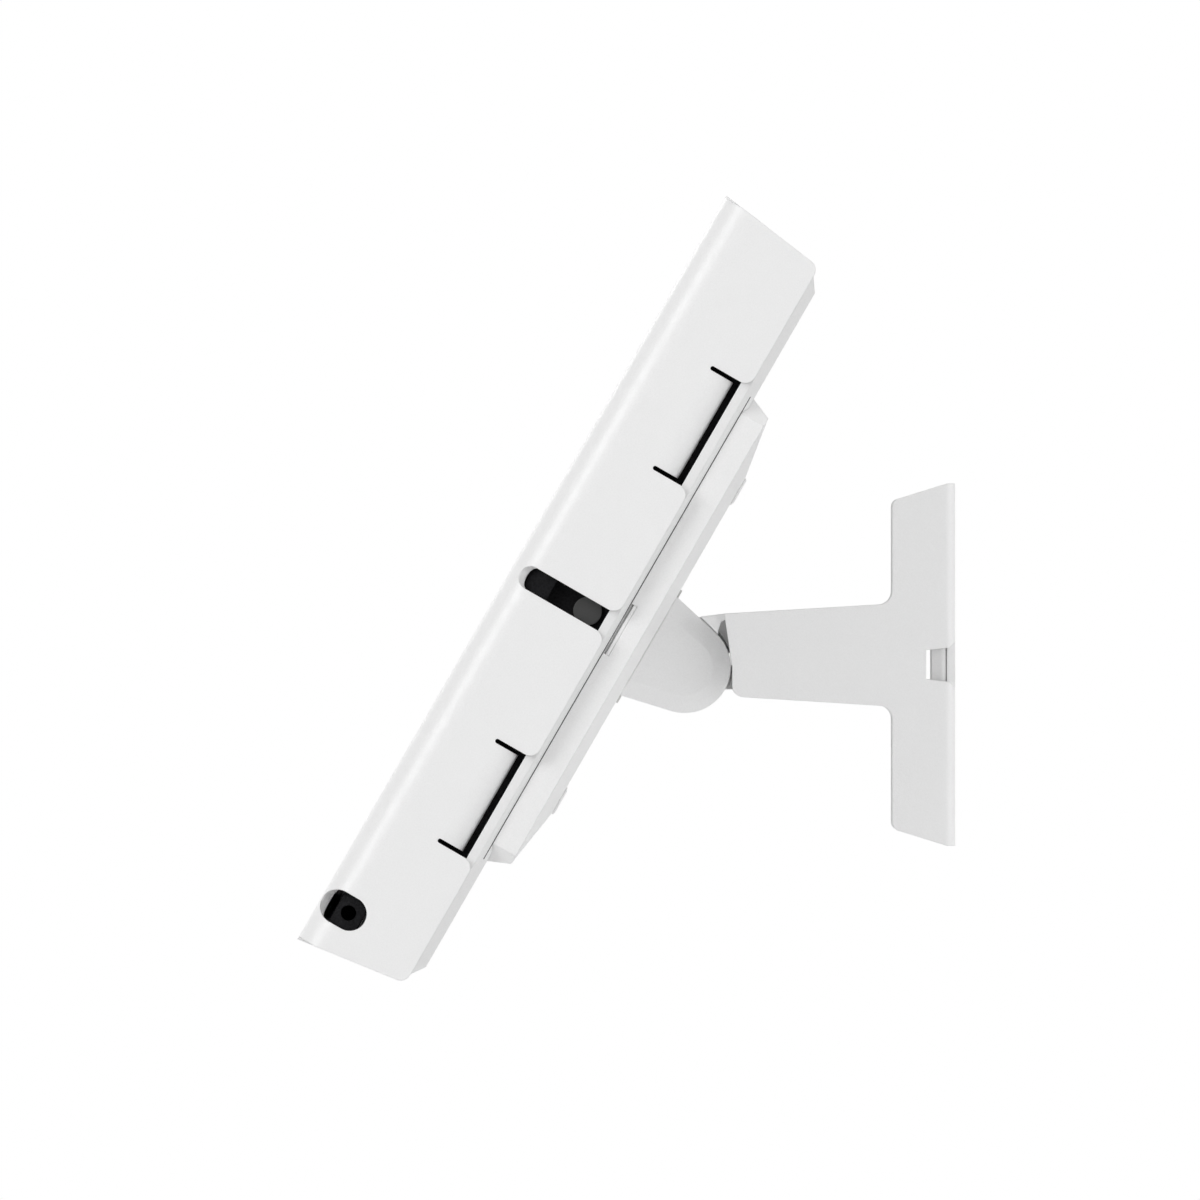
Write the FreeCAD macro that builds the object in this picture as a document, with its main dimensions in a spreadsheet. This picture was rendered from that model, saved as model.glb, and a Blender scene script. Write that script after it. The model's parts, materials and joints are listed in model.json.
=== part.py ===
import FreeCAD, Part
import math
import os
import Sketcher

# Tablet wall mount: a folded wall bracket, a tilting knuckle with a swivel, and a sheet enclosure.
# Row frame: +Z up, the wall is the plane y = 0, the front faces -Y, x runs along the wall.
# The enclosure is drawn about the tilt axis (local y to its back, local z up along it) and
# then leans back in its Placement.

SIZES = [
    ("rest_tilt", 30.0, "degrees that the enclosure leans back at rest"),
    ("nose_to_axis", 9.5, "tilt axis in front of the arm nose"),
    ("axis_drop", 0.6, "tilt axis below the middle of the wall plate"),
    ("fit_gap", 0.3, "gap between parts that move past each other"),
    ("running_gap", 0.05, "radial gap of a shaft in its bore"),
    # Wall bracket
    ("bracket_width", 64.0, "outside width of the folded bracket"),
    ("bracket_height", 87.4, "height of the wall plate"),
    ("bracket_sheet", 2.0, "bracket sheet thickness"),
    ("bracket_bend", 2.4, "outside bend radius at the wall"),
    ("flange_depth", 15.2, "depth of the side plates above and below the arm"),
    ("flange_slope", 4.1, "fall of the flange ends towards the room"),
    ("arm_root_top", 14.7, "top of the arm at its root above the middle"),
    ("arm_root_bottom", 10.1, "bottom of the arm at its root below the middle"),
    ("arm_nose_top", 12.3, "top of the arm nose above the middle"),
    ("arm_nose_bottom", 7.7, "bottom of the arm nose below the middle"),
    ("arm_reach", 55.7, "arm nose in front of the wall"),
    ("nose_rake", 1.9, "how far the arm front edge falls back beside the knuckle"),
    ("arm_fillet", 3.2, "radius where the arm meets the flanges"),
    ("arm_round", 2.9, "radius of the lower nose corner"),
    ("notch_depth", 7.0, "depth of the cable notch in each side plate"),
    ("notch_half", 3.5, "half height of the cable notch"),
    ("notch_spread", 0.6, "how far each notch edge spreads up to the mouth"),
    ("notch_flare", 1.5, "rounding of the notch mouth"),
    ("shoe_sheet", 1.5, "sheet thickness of the inner wall shoe"),
    ("shoe_depth", 5.7, "front edge of the wall shoe in front of the wall"),
    ("shoe_edge", 4.7, "wall shoe inside the ends of the wall plate"),
    ("shoe_screw_radius", 5.6, "radius of the screw head holes in the wall shoe"),
    ("wall_hole_across", 40.0, "distance between wall screws across"),
    ("wall_hole_edge", 8.7, "wall screws inside the ends of the wall plate"),
    ("wall_hole_radius", 2.75, "radius of the wall screw holes"),
    ("cable_hole_radius", 11.0, "radius of the cable hole in the wall plate"),
    ("grommet_wall", 1.5, "wall of the rubber grommet in the cable hole"),
    # Neck between the side plates
    ("neck_ear_inside", 10.2, "half distance between the neck ears"),
    ("neck_ear", 3.0, "neck ear thickness"),
    ("neck_sheet", 2.0, "neck web thickness"),
    ("neck_top", 12.8, "top of the neck above the tilt axis"),
    ("neck_front_top", 12.0, "top of the neck ears beside the tilt bolt above the axis"),
    ("neck_bottom", 5.4, "bottom of the neck below the tilt axis"),
    ("neck_eye", 6.5, "radius of the neck round the tilt bolt"),
    ("neck_flange", 14.0, "length of the neck flanges inside the arm"),
    ("neck_setback", 13.2, "front of the neck web behind the tilt axis"),
    ("cable_gap_low", 0.4, "bottom of the cable gap above the tilt axis"),
    ("cable_gap_high", 3.4, "top of the cable gap above the tilt axis"),
    # Knuckle
    ("knuckle_radius", 11.1, "radius of the knuckle end about the tilt axis"),
    ("knuckle_draft", 13.0, "degrees of each knuckle flank"),
    ("knuckle_base", 9.4, "foot of the knuckle in front of the tilt axis"),
    ("fork_base", 2.5, "thickness of the fork base"),
    ("fork_ear", 3.0, "thickness of the fork ears"),
    ("washer_thickness", 0.8, "friction washer thickness"),
    ("cap_depth", 6.0, "depth of each knuckle cap"),
    ("cap_bevel", 4.3, "width of the bevel round a cap face"),
    ("cap_bevel_depth", 2.6, "depth of the bevel round a cap face"),
    ("cap_pocket", 6.2, "radius of the bolt pocket in a cap"),
    ("cap_floor", 1.4, "wall left over the bolt pocket"),
    ("bolt_radius", 3.0, "tilt bolt radius"),
    ("bolt_head_radius", 5.2, "tilt bolt head radius"),
    ("bolt_head", 3.0, "tilt bolt head height"),
    ("bolt_socket", 4.0, "hexagon socket width across flats"),
    ("nut_flats", 10.0, "tilt nut width across flats"),
    ("nut_height", 3.2, "tilt nut height"),
    ("spring_washer", 0.7, "spring washer thickness"),
    ("friction_radius", 6.0, "friction washer radius"),
    # Swivel
    ("axis_to_cover", 10.3, "cover back face in front of the tilt axis"),
    ("swivel_disc_radius", 15.7, "radius of the thin swivel disc"),
    ("swivel_disc", 0.6, "thickness of the thin swivel disc"),
    ("hub_radius", 8.0, "outside radius of the hollow hub"),
    ("hub_bore", 6.0, "bore radius of the hollow hub"),
    ("hub_flange_radius", 13.0, "radius of the hub flange inside the cover"),
    ("hub_flange", 2.0, "thickness of the hub flange"),
    ("hub_nut_radius", 9.7, "radius of the hub nut"),
    ("hub_nut", 2.2, "thickness of the hub nut"),
    ("hub_washer", 0.5, "thickness of the wave washer under the hub nut"),
    # Enclosure
    ("head_width", 280.0, "enclosure width"),
    ("head_height", 205.5, "enclosure height at its front face"),
    ("axis_to_front", 48.0, "front face in front of the tilt axis"),
    ("side_depth", 27.7, "depth of the side panels"),
    ("end_taper", 7.8, "degrees of the top and bottom panels"),
    ("frame_sheet", 2.2, "front frame sheet thickness"),
    ("side_bend", 7.2, "outside bend radius at the left and right of the front"),
    ("panel_corner", 2.6, "corner radius at the back edge of the side panels"),
    ("bezel_side", 34.0, "front left and right of the screen window"),
    ("bezel_end", 22.75, "front above and below the screen window"),
    ("window_corner", 3.0, "screen window corner radius"),
    ("slot_half", 2.83, "half width of the central cable slot"),
    ("slot_start", 2.4, "slot end behind the front face"),
    ("slot_lip", 1.8, "upright part of the slot wall at its front end"),
    ("hole_lean", 50.0, "degrees that the hole walls lean in the bends"),
    ("slot_mouth", 2.7, "radius of the slot corners at the back edge"),
    ("tab_near", 37.2, "near slit from the middle"),
    ("tab_far", 65.8, "far slit from the middle"),
    ("slit_width", 1.06, "width of a slit beside a curled tab"),
    ("slit_start", 17.8, "slit end behind the front face"),
    ("tab_curl", 6.0, "outside radius of a curled tab"),
    ("jack_offset", 91.2, "jack hole below the middle"),
    ("jack_radius", 4.1, "end radius of the jack hole"),
    ("jack_depth", 6.1, "middle of the jack hole behind the front face"),
    ("jack_length", 3.4, "length between the jack hole ends"),
    ("jack_lip", 5.0, "upright part of the jack hole wall at its front end"),
    ("port_radius", 1.85, "radius of the port hole in the spacer"),
    ("port_depth", 7.5, "port hole behind the front face"),
    ("seam_width", 0.7, "widest part of the open seam at the folded corners"),
    ("seam_depth", 4.4, "length of the open seam behind the front face"),
    # Back tray and cover
    ("tray_gap", 0.3, "gap between the tray and the frame"),
    ("tray_front", 25.4, "front rim of the tray behind the front face"),
    ("tray_back", 30.0, "back face of the tray behind the front face"),
    ("tray_bevel", 3.3, "bevel width round the tray back"),
    ("tray_bevel_depth", 2.3, "bevel depth round the tray back"),
    ("tray_sheet", 1.2, "tray sheet thickness"),
    ("cover_base", 28.7, "lowest edge of the cover behind the front face"),
    ("cover_inset", 1.6, "sides of the cover inside the tray rim"),
    ("cover_half_height", 64.4, "half height of the cover at its foot"),
    ("cover_shoulder", 35.3, "cover shoulder behind the front face"),
    ("cover_draft", 2.8, "how far the cover ends lean in up to the shoulder"),
    ("cover_slope_across", 19.9, "width of the slopes left and right of the cover flat"),
    ("cover_slope_up", 17.9, "width of the slopes above and below the cover flat"),
    ("cover_corner", 5.0, "bevel at the upright corners of the cover"),
    ("cover_sheet", 1.6, "cover wall thickness"),
    ("cover_notch_half", 6.8, "half width of the cable notch in the cover rim"),
    ("cover_notch", 0.7, "depth of the cable notch in the cover rim"),
    ("groove_width", 0.45, "shadow groove between the cover and the tray"),
    ("groove_depth", 0.9, "how far the shadow groove goes in"),
    ("screw_edge_across", 4.0, "cover screws inside the flat across"),
    ("screw_edge_up", 3.5, "cover screws inside the flat up"),
    # Mount plate and screws
    ("plate_half_width", 45.0, "half width of the mount plate"),
    ("plate_half_height", 30.0, "half height of the mount plate"),
    ("plate_sheet", 2.5, "mount plate thickness"),
    ("plate_hole_across", 37.0, "mount plate screws from the middle across"),
    ("plate_hole_up", 22.0, "mount plate screws from the middle up"),
    ("small_screw", 1.5, "radius of the small screws"),
    ("small_head_radius", 3.4, "head radius of the small screws"),
    ("small_head", 1.1, "head height of the small screws"),
    ("cover_head", 0.6, "height of the flat heads on the cover"),
    ("tray_screw_side", 18.0, "tray screws from the sides of the enclosure"),
    ("tray_screw_end", 22.75, "tray screws from the top and bottom of the enclosure"),
    ("block_half", 5.0, "half size of a corner block"),
    ("block_foot", 6.0, "depth of the welded foot of a corner block"),
    ("cable_port_radius", 7.0, "radius of the cable hole in the tray and mount plate"),
    # Tablet bay
    ("gasket_width", 9.0, "width of the screen gasket strip"),
    ("bay_front", 4.3, "front of the tablet bay behind the front face"),
    ("bay_back", 11.0, "back of the tablet bay behind the front face"),
    ("bay_side", 14.5, "tablet bay from the sides of the enclosure"),
    ("bay_end", 15.25, "tablet bay from the top and bottom of the enclosure"),
    ("spacer_bevel", 1.9, "bevel of the side spacers inside the folded edges"),
    ("channel_half", 4.0, "half width of the cable channel in the middle block"),
    ("channel_depth", 6.0, "depth of the cable channel in the middle block"),
    ("foam_joint", 44.7, "joint between the backing blocks from the middle"),
    ("rivet_radius", 3.46, "push rivet head radius"),
    ("rivet_depth", 20.9, "push rivet behind the front face"),
    ("rivet_head", 0.8, "push rivet head thickness"),
]


class Size:
    """A number together with the sheet formula that gives it."""

    def __init__(self, number, formula):
        self.number = number
        self.formula = formula

    def __add__(self, other):
        other = as_size(other)
        return Size(self.number + other.number, f"({self.formula} + {other.formula})")

    def __sub__(self, other):
        other = as_size(other)
        return Size(self.number - other.number, f"({self.formula} - {other.formula})")

    def __mul__(self, other):
        other = as_size(other)
        return Size(self.number * other.number, f"({self.formula} * {other.formula})")

    def __truediv__(self, other):
        other = as_size(other)
        return Size(self.number / other.number, f"({self.formula} / {other.formula})")

    def __rsub__(self, other):
        return as_size(other) - self

    def __neg__(self):
        return Size(-self.number, f"(-1 * {self.formula})")

    __radd__ = __add__
    __rmul__ = __mul__


def as_size(value):
    """Take a plain number as a size."""
    return value if isinstance(value, Size) else Size(float(value), f"({float(value):.6f})")


def sine(angle):
    return Size(math.sin(math.radians(angle.number)), f"sin({angle.formula})")


def cosine(angle):
    return Size(math.cos(math.radians(angle.number)), f"cos({angle.formula})")


def tangent(angle):
    return Size(math.tan(math.radians(angle.number)), f"tan({angle.formula})")


doc = FreeCAD.newDocument("TabletWallMount")
sheet = doc.addObject("Spreadsheet::Sheet", "Sizes")
S = {}
for row, (alias, number, meaning) in enumerate(SIZES, start=1):
    sheet.set(f"A{row}", alias)
    sheet.set(f"B{row}", str(number))
    sheet.setAlias(f"B{row}", alias)
    sheet.set(f"C{row}", meaning)
    S[alias] = Size(number, f"Sizes.{alias}")
doc.recompute()

ZERO = as_size(0)
axis_reach = S["arm_reach"] + S["nose_to_axis"]
SUBPARTS = []


def bind(thing, name, size):
    """Tie one property of an object to the sheet."""
    thing.setExpression(name, size.formula)


def new_body(label, leans=False):
    """Start a sub-part; one that leans is drawn about the tilt axis."""
    body = doc.addObject("PartDesign::Body", label)
    body.Label = label
    SUBPARTS.append(body)
    if leans:
        lean_back(body)
    return body


def lean_back(piece):
    """Move a piece drawn about the tilt axis to its place and lean it back."""
    back = -axis_reach
    up = -S["axis_drop"]
    piece.Placement = FreeCAD.Placement(
        FreeCAD.Vector(0, back.number, up.number),
        FreeCAD.Rotation(FreeCAD.Vector(1, 0, 0), -S["rest_tilt"].number),
    )
    bind(piece, "Placement.Base.y", back)
    bind(piece, "Placement.Base.z", up)
    bind(piece, "Placement.Rotation.Angle", -S["rest_tilt"])


# The three drawing planes: side looks along x, front looks along y and plan looks along z.
PLANES = {"side": "YZ_Plane", "front": "XZ_Plane", "plan": "XY_Plane"}


def new_sketch(body, plane, offset=ZERO):
    """Add a sketch on one of the body's own planes, moved along its normal."""
    sketch = body.newObject("Sketcher::SketchObject", body.Label + "_sketch")
    support = [item for item in body.Origin.OriginFeatures if item.Role == PLANES[plane]][0]
    sketch.AttachmentSupport = [(support, "")]
    sketch.MapMode = "FlatFace"
    sketch.AttachmentOffset = FreeCAD.Placement(
        FreeCAD.Vector(0, 0, offset.number), FreeCAD.Rotation()
    )
    bind(sketch, "AttachmentOffset.Base.z", offset)
    return sketch


def pin_point(sketch, geometry, end, across, up):
    """Tie a point of the sketch to its two coordinates."""
    for kind, size in (("DistanceX", across), ("DistanceY", up)):
        index = sketch.addConstraint(
            Sketcher.Constraint(kind, -1, 1, geometry, end, size.number)
        )
        bind(sketch, f"Constraints[{index}]", size)


def outline(sketch, corners):
    """Close a straight-sided outline through the corners."""
    corners = [(as_size(across), as_size(up)) for across, up in corners]
    first = sketch.GeometryCount
    count = len(corners)
    for index in range(count):
        start = corners[index]
        stop = corners[(index + 1) % count]
        sketch.addGeometry(
            Part.LineSegment(
                FreeCAD.Vector(start[0].number, start[1].number, 0),
                FreeCAD.Vector(stop[0].number, stop[1].number, 0),
            ),
            False,
        )
    for index in range(count):
        following = first + (index + 1) % count
        sketch.addConstraint(Sketcher.Constraint("Coincident", first + index, 2, following, 1))
    for index, (across, up) in enumerate(corners):
        pin_point(sketch, first + index, 1, across, up)


def rectangle(sketch, left, right, bottom, top):
    outline(sketch, [(left, bottom), (right, bottom), (right, top), (left, top)])


def circle(sketch, across, up, radius):
    """Add a circle with its centre and radius tied to the sheet."""
    across = as_size(across)
    up = as_size(up)
    centre = FreeCAD.Vector(across.number, up.number, 0)
    index = sketch.addGeometry(
        Part.Circle(centre, FreeCAD.Vector(0, 0, 1), radius.number), False
    )
    pin_point(sketch, index, 3, across, up)
    limit = sketch.addConstraint(Sketcher.Constraint("Radius", index, radius.number))
    bind(sketch, f"Constraints[{limit}]", radius)


def hexagon(sketch, across, up, flats):
    """Add a hexagon by its width across flats."""
    reach = flats / (2 * math.cos(math.pi / 6))
    corners = []
    for step in range(6):
        turn = math.radians(60 * step)
        corners.append((across + reach * math.cos(turn), up + reach * math.sin(turn)))
    outline(sketch, corners)


def feature(body, kind, sketch, length, reverse=False, both=False):
    """Pad or pocket a sketch by a length; None cuts through all."""
    item = body.newObject("PartDesign::" + kind, f"{body.Label}_{kind.lower()}")
    item.Profile = sketch
    item.Reversed = reverse
    if both:
        item.SideType = "Symmetric"
    if length is None:
        item.Type = "ThroughAll"
        if both:
            item.Midplane = True
    else:
        bind(item, "Length", length)
    doc.recompute()
    return item


def pad(body, sketch, length, reverse=False, both=False):
    return feature(body, "Pad", sketch, length, reverse, both)


def pocket(body, sketch, length, reverse=False, both=False):
    """Cut a sketch and make sure that something was cut."""
    before = body.Tip.Shape.Volume
    item = feature(body, "Pocket", sketch, length, reverse, both)
    if item.Shape.Volume > before - 0.001:
        raise RuntimeError(f"{item.Label} cuts nothing")
    return item


AXES = {"x": 0, "y": 1, "z": 2}


def edges_along(shape, axis, points, within=0.05):
    """Names of the straight edges along an axis that pass through the given points."""
    along = AXES[axis]
    others = [number for number in range(3) if number != along]
    names = []
    for index, edge in enumerate(shape.Edges, start=1):
        start = edge.Vertexes[0].Point
        stop = edge.Vertexes[-1].Point
        if any(abs(start[number] - stop[number]) > 0.001 for number in others):
            continue
        for first, second in points:
            near = abs(start[others[0]] - as_size(first).number) < within
            if near and abs(start[others[1]] - as_size(second).number) < within:
                names.append(f"Edge{index}")
    return names


def local_shape(body):
    """The body's shape before its Placement."""
    return body.Tip.Shape


def fillet(body, axis, points, radius):
    """Round the edges along an axis at the given points."""
    names = edges_along(local_shape(body), axis, points)
    if len(names) < len(points):
        raise RuntimeError(f"{body.Label}: {len(names)} edges for {len(points)} points")
    item = body.newObject("PartDesign::Fillet", body.Label + "_fillet")
    item.Base = (body.Tip if body.Tip != item else item.BaseFeature, names)
    bind(item, "Radius", radius)
    doc.recompute()
    return item


def turned(body, profile, centre_across=ZERO, centre_up=ZERO):
    """Turn a profile of (radius, height) corners about the line along local y."""
    sketch = new_sketch(body, "plan", centre_up)
    corners = [(centre_across + radius, along) for radius, along in profile]
    outline(sketch, corners)
    axis = sketch.addGeometry(
        Part.LineSegment(
            FreeCAD.Vector(as_size(centre_across).number, 0, 0),
            FreeCAD.Vector(as_size(centre_across).number, 1, 0),
        ),
        True,
    )
    pin_point(sketch, axis, 1, as_size(centre_across), ZERO)
    pin_point(sketch, axis, 2, as_size(centre_across), as_size(1))
    item = body.newObject("PartDesign::Revolution", body.Label + "_turn")
    item.Profile = sketch
    item.ReferenceAxis = (sketch, ["Axis0"])
    item.Angle = 360
    doc.recompute()
    return item


# Places worked out from the sizes, in the row frame for the bracket and neck
half_bracket = S["bracket_width"] / 2
half_plate = S["bracket_height"] / 2
arm_waist = S["arm_reach"] - S["nose_rake"]
wall_hole_up = S["bracket_height"] - S["wall_hole_edge"] * 2
shoe_height = S["bracket_height"] - S["shoe_edge"] * 2
sheet_inside = half_bracket - S["bracket_sheet"]


def make_wall_bracket():
    """Folded channel: a wall plate and two side plates that run on as the arm."""
    body = new_body("wall_bracket")
    top = half_plate - S["flange_slope"]
    bottom = -half_plate + S["flange_slope"]
    side = new_sketch(body, "side")
    corners = [
        (ZERO, -half_plate),
        (ZERO, half_plate),
        (-S["bracket_sheet"], half_plate),
        (-S["flange_depth"], top),
        (-S["flange_depth"], S["arm_root_top"]),
        (-S["arm_reach"], S["arm_nose_top"]),
        (-arm_waist, -S["axis_drop"]),
        (-arm_waist, -S["arm_nose_bottom"]),
        (-S["flange_depth"], -S["arm_root_bottom"]),
        (-S["flange_depth"], bottom),
        (-S["bracket_sheet"], -half_plate),
    ]
    outline(side, corners)
    pad(body, side, S["bracket_width"], both=True)
    fillet(body, "x", [corners[4], corners[8]], S["arm_fillet"])
    fillet(body, "x", [corners[7]], S["arm_round"])
    fillet(body, "x", [corners[3], corners[9]], S["bracket_sheet"])
    fillet(body, "z", [(half_bracket, ZERO), (-half_bracket, ZERO)], S["bracket_bend"])

    inside = new_sketch(body, "plan")
    reach = S["arm_reach"] + S["bracket_sheet"]
    rectangle(inside, -sheet_inside, sheet_inside, -reach, -S["bracket_sheet"])
    pocket(body, inside, S["bracket_height"] + S["bracket_sheet"], both=True)

    holes = new_sketch(body, "front")
    for across in (-1, 1):
        for up in (-1, 1):
            circle(
                holes,
                across * S["wall_hole_across"] / 2,
                up * wall_hole_up / 2,
                S["wall_hole_radius"],
            )
    circle(holes, ZERO, ZERO, S["cable_hole_radius"])
    pocket(body, holes, S["bracket_sheet"] * 2, both=True)

    for hand in (-1, 1):
        notch = new_sketch(body, "side", hand * (half_bracket + S["notch_flare"]))
        half = S["notch_half"]
        neck = half + S["notch_spread"]
        wide = neck + S["notch_flare"]
        outline(
            notch,
            [
                (S["notch_flare"], -wide),
                (S["notch_flare"], wide),
                (ZERO, wide),
                (-S["notch_flare"], neck),
                (-S["notch_depth"], half),
                (-S["notch_depth"], -half),
                (-S["notch_flare"], -neck),
                (ZERO, -wide),
            ],
        )
        depth = S["bracket_bend"] + S["notch_flare"] + S["fit_gap"]
        pocket(body, notch, depth, reverse=hand < 0)


def make_wall_shoe():
    """Shallow channel inside the bracket that stiffens the wall plate behind the notches."""
    body = new_body("wall_shoe")
    half = sheet_inside - S["fit_gap"]
    back = S["bracket_sheet"]
    section = new_sketch(body, "plan", -shoe_height / 2)
    inner = half - S["shoe_sheet"]
    outline(
        section,
        [
            (-half, -back),
            (half, -back),
            (half, -S["shoe_depth"]),
            (inner, -S["shoe_depth"]),
            (inner, -back - S["shoe_sheet"]),
            (-inner, -back - S["shoe_sheet"]),
            (-inner, -S["shoe_depth"]),
            (-half, -S["shoe_depth"]),
        ],
    )
    pad(body, section, shoe_height)
    fillet(body, "z", [(half, -back), (-half, -back)], S["shoe_sheet"])
    holes = new_sketch(body, "front")
    for across in (-1, 1):
        for up in (-1, 1):
            circle(
                holes,
                across * S["wall_hole_across"] / 2,
                up * wall_hole_up / 2,
                S["shoe_screw_radius"],
            )
    circle(holes, ZERO, ZERO, S["cable_hole_radius"] + S["grommet_wall"] + S["fit_gap"])
    pocket(body, holes, S["shoe_depth"] * 2, both=True)


def make_cable_grommet():
    """Rubber ring that lines the cable hole of the wall plate."""
    body = new_body("cable_grommet")
    outer = S["cable_hole_radius"]
    lip = outer + S["grommet_wall"]
    bore = outer - S["grommet_wall"]
    face = S["bracket_sheet"]
    turned(
        body,
        [
            (bore, ZERO),
            (outer, ZERO),
            (outer, -face),
            (lip, -face),
            (lip, -face - S["grommet_wall"]),
            (bore, -face - S["grommet_wall"]),
        ],
    )


def make_pivot_neck():
    """Welded neck: a web between the side plates with two ears that hold the tilt bolt."""
    body = new_body("pivot_neck")
    axis_y = -axis_reach
    axis_z = -S["axis_drop"]
    web_front = axis_y + S["neck_setback"]
    web_back = web_front + S["neck_sheet"]
    top = axis_z + S["neck_top"]
    bottom = axis_z - S["neck_bottom"]
    ear_out = S["neck_ear_inside"] + S["neck_ear"]

    ears = new_sketch(body, "side")
    outline(
        ears,
        [
            (axis_y, bottom),
            (web_back, bottom),
            (web_back, top),
            (axis_y + S["bolt_radius"], axis_z + S["neck_front_top"]),
            (axis_y, axis_z + S["neck_eye"]),
        ],
    )
    pad(body, ears, ear_out * 2, both=True)
    eye = new_sketch(body, "side")
    circle(eye, axis_y, axis_z, S["neck_eye"])
    pad(body, eye, ear_out * 2, both=True)
    gap = new_sketch(body, "plan")
    rectangle(
        gap,
        -S["neck_ear_inside"],
        S["neck_ear_inside"],
        axis_y - S["neck_eye"] * 2,
        web_front,
    )
    pocket(body, gap, S["bracket_height"], both=True)

    web = new_sketch(body, "plan", bottom)
    back = web_back + S["neck_flange"]
    inner = sheet_inside - S["neck_sheet"]
    outline(
        web,
        [
            (-sheet_inside, web_front),
            (sheet_inside, web_front),
            (sheet_inside, back),
            (inner, back),
            (inner, web_back),
            (-inner, web_back),
            (-inner, back),
            (-sheet_inside, back),
        ],
    )
    pad(body, web, S["neck_top"] + S["neck_bottom"])

    slot = new_sketch(body, "side")
    low = axis_z + S["cable_gap_low"]
    high = axis_z + S["cable_gap_high"]
    rectangle(slot, web_front - S["neck_flange"] / 4, web_back + S["fit_gap"], low, high)
    pocket(body, slot, ear_out * 2, both=True)
    bore = new_sketch(body, "side")
    circle(bore, axis_y, axis_z, S["bolt_radius"] + S["running_gap"])
    pocket(body, bore, ear_out * 2 + S["fit_gap"], both=True)
    passage = new_sketch(body, "front", -web_back - S["fit_gap"])
    half = S["neck_ear_inside"] - S["neck_sheet"]
    rectangle(passage, -half, half, bottom + S["neck_sheet"], top - S["neck_sheet"])
    pocket(body, passage, S["neck_sheet"] + S["fit_gap"] * 2, reverse=True)


# Stations along x in the knuckle
fork_inside = S["neck_ear_inside"] + S["neck_ear"] + S["washer_thickness"] + S["fit_gap"]
fork_outside = fork_inside + S["fork_ear"]
cap_outside = fork_outside + S["cap_depth"]


def knuckle_outline(sketch):
    """D outline about the tilt axis: a flat foot and two flanks tangent to a round end."""
    radius = S["knuckle_radius"]
    draft = S["knuckle_draft"]
    touch_back = radius * sine(draft)
    touch_up = radius * cosine(draft)
    foot = -S["knuckle_base"]
    foot_up = radius / cosine(draft) + S["knuckle_base"] * tangent(draft)
    line = sketch.addGeometry(
        [
            Part.LineSegment(
                FreeCAD.Vector(foot.number, foot_up.number, 0),
                FreeCAD.Vector(foot.number, -foot_up.number, 0),
            ),
            Part.LineSegment(
                FreeCAD.Vector(foot.number, -foot_up.number, 0),
                FreeCAD.Vector(touch_back.number, -touch_up.number, 0),
            ),
            Part.LineSegment(
                FreeCAD.Vector(touch_back.number, touch_up.number, 0),
                FreeCAD.Vector(foot.number, foot_up.number, 0),
            ),
            Part.ArcOfCircle(
                Part.Circle(FreeCAD.Vector(0, 0, 0), FreeCAD.Vector(0, 0, 1), radius.number),
                -math.pi / 2 + math.radians(draft.number),
                math.pi / 2 - math.radians(draft.number),
            ),
        ],
        False,
    )[0]
    foot_line, lower, upper, end = line, line + 1, line + 2, line + 3
    for first, first_end, second, second_end in (
        (foot_line, 2, lower, 1),
        (upper, 2, foot_line, 1),
        (lower, 2, end, 1),
        (end, 2, upper, 1),
    ):
        sketch.addConstraint(
            Sketcher.Constraint("Coincident", first, first_end, second, second_end)
        )
    pin_point(sketch, foot_line, 1, foot, foot_up)
    pin_point(sketch, lower, 1, foot, -foot_up)
    pin_point(sketch, lower, 2, touch_back, -touch_up)
    pin_point(sketch, upper, 1, touch_back, touch_up)
    limit = sketch.addConstraint(Sketcher.Constraint("Radius", end, radius.number))
    bind(sketch, f"Constraints[{limit}]", radius)


def make_knuckle_fork():
    """Steel fork: a base that turns on the hub and two ears that hold the tilt bolt."""
    body = new_body("knuckle_fork", leans=True)
    side = new_sketch(body, "side")
    knuckle_outline(side)
    pad(body, side, fork_outside * 2, both=True)
    gap = new_sketch(body, "plan")
    floor = -S["knuckle_base"] + S["fork_base"]
    rectangle(gap, -fork_inside, fork_inside, floor, S["knuckle_radius"] * 2)
    pocket(body, gap, S["knuckle_radius"] * 4, both=True)
    hub_hole = new_sketch(body, "front", S["knuckle_base"] + S["fit_gap"])
    circle(hub_hole, ZERO, ZERO, S["hub_radius"] + S["running_gap"])
    pocket(body, hub_hole, S["fork_base"] + S["fit_gap"] * 2)
    bore = new_sketch(body, "side")
    circle(bore, ZERO, ZERO, S["bolt_radius"] + S["running_gap"])
    pocket(body, bore, fork_outside * 2 + S["fit_gap"], both=True)


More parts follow.
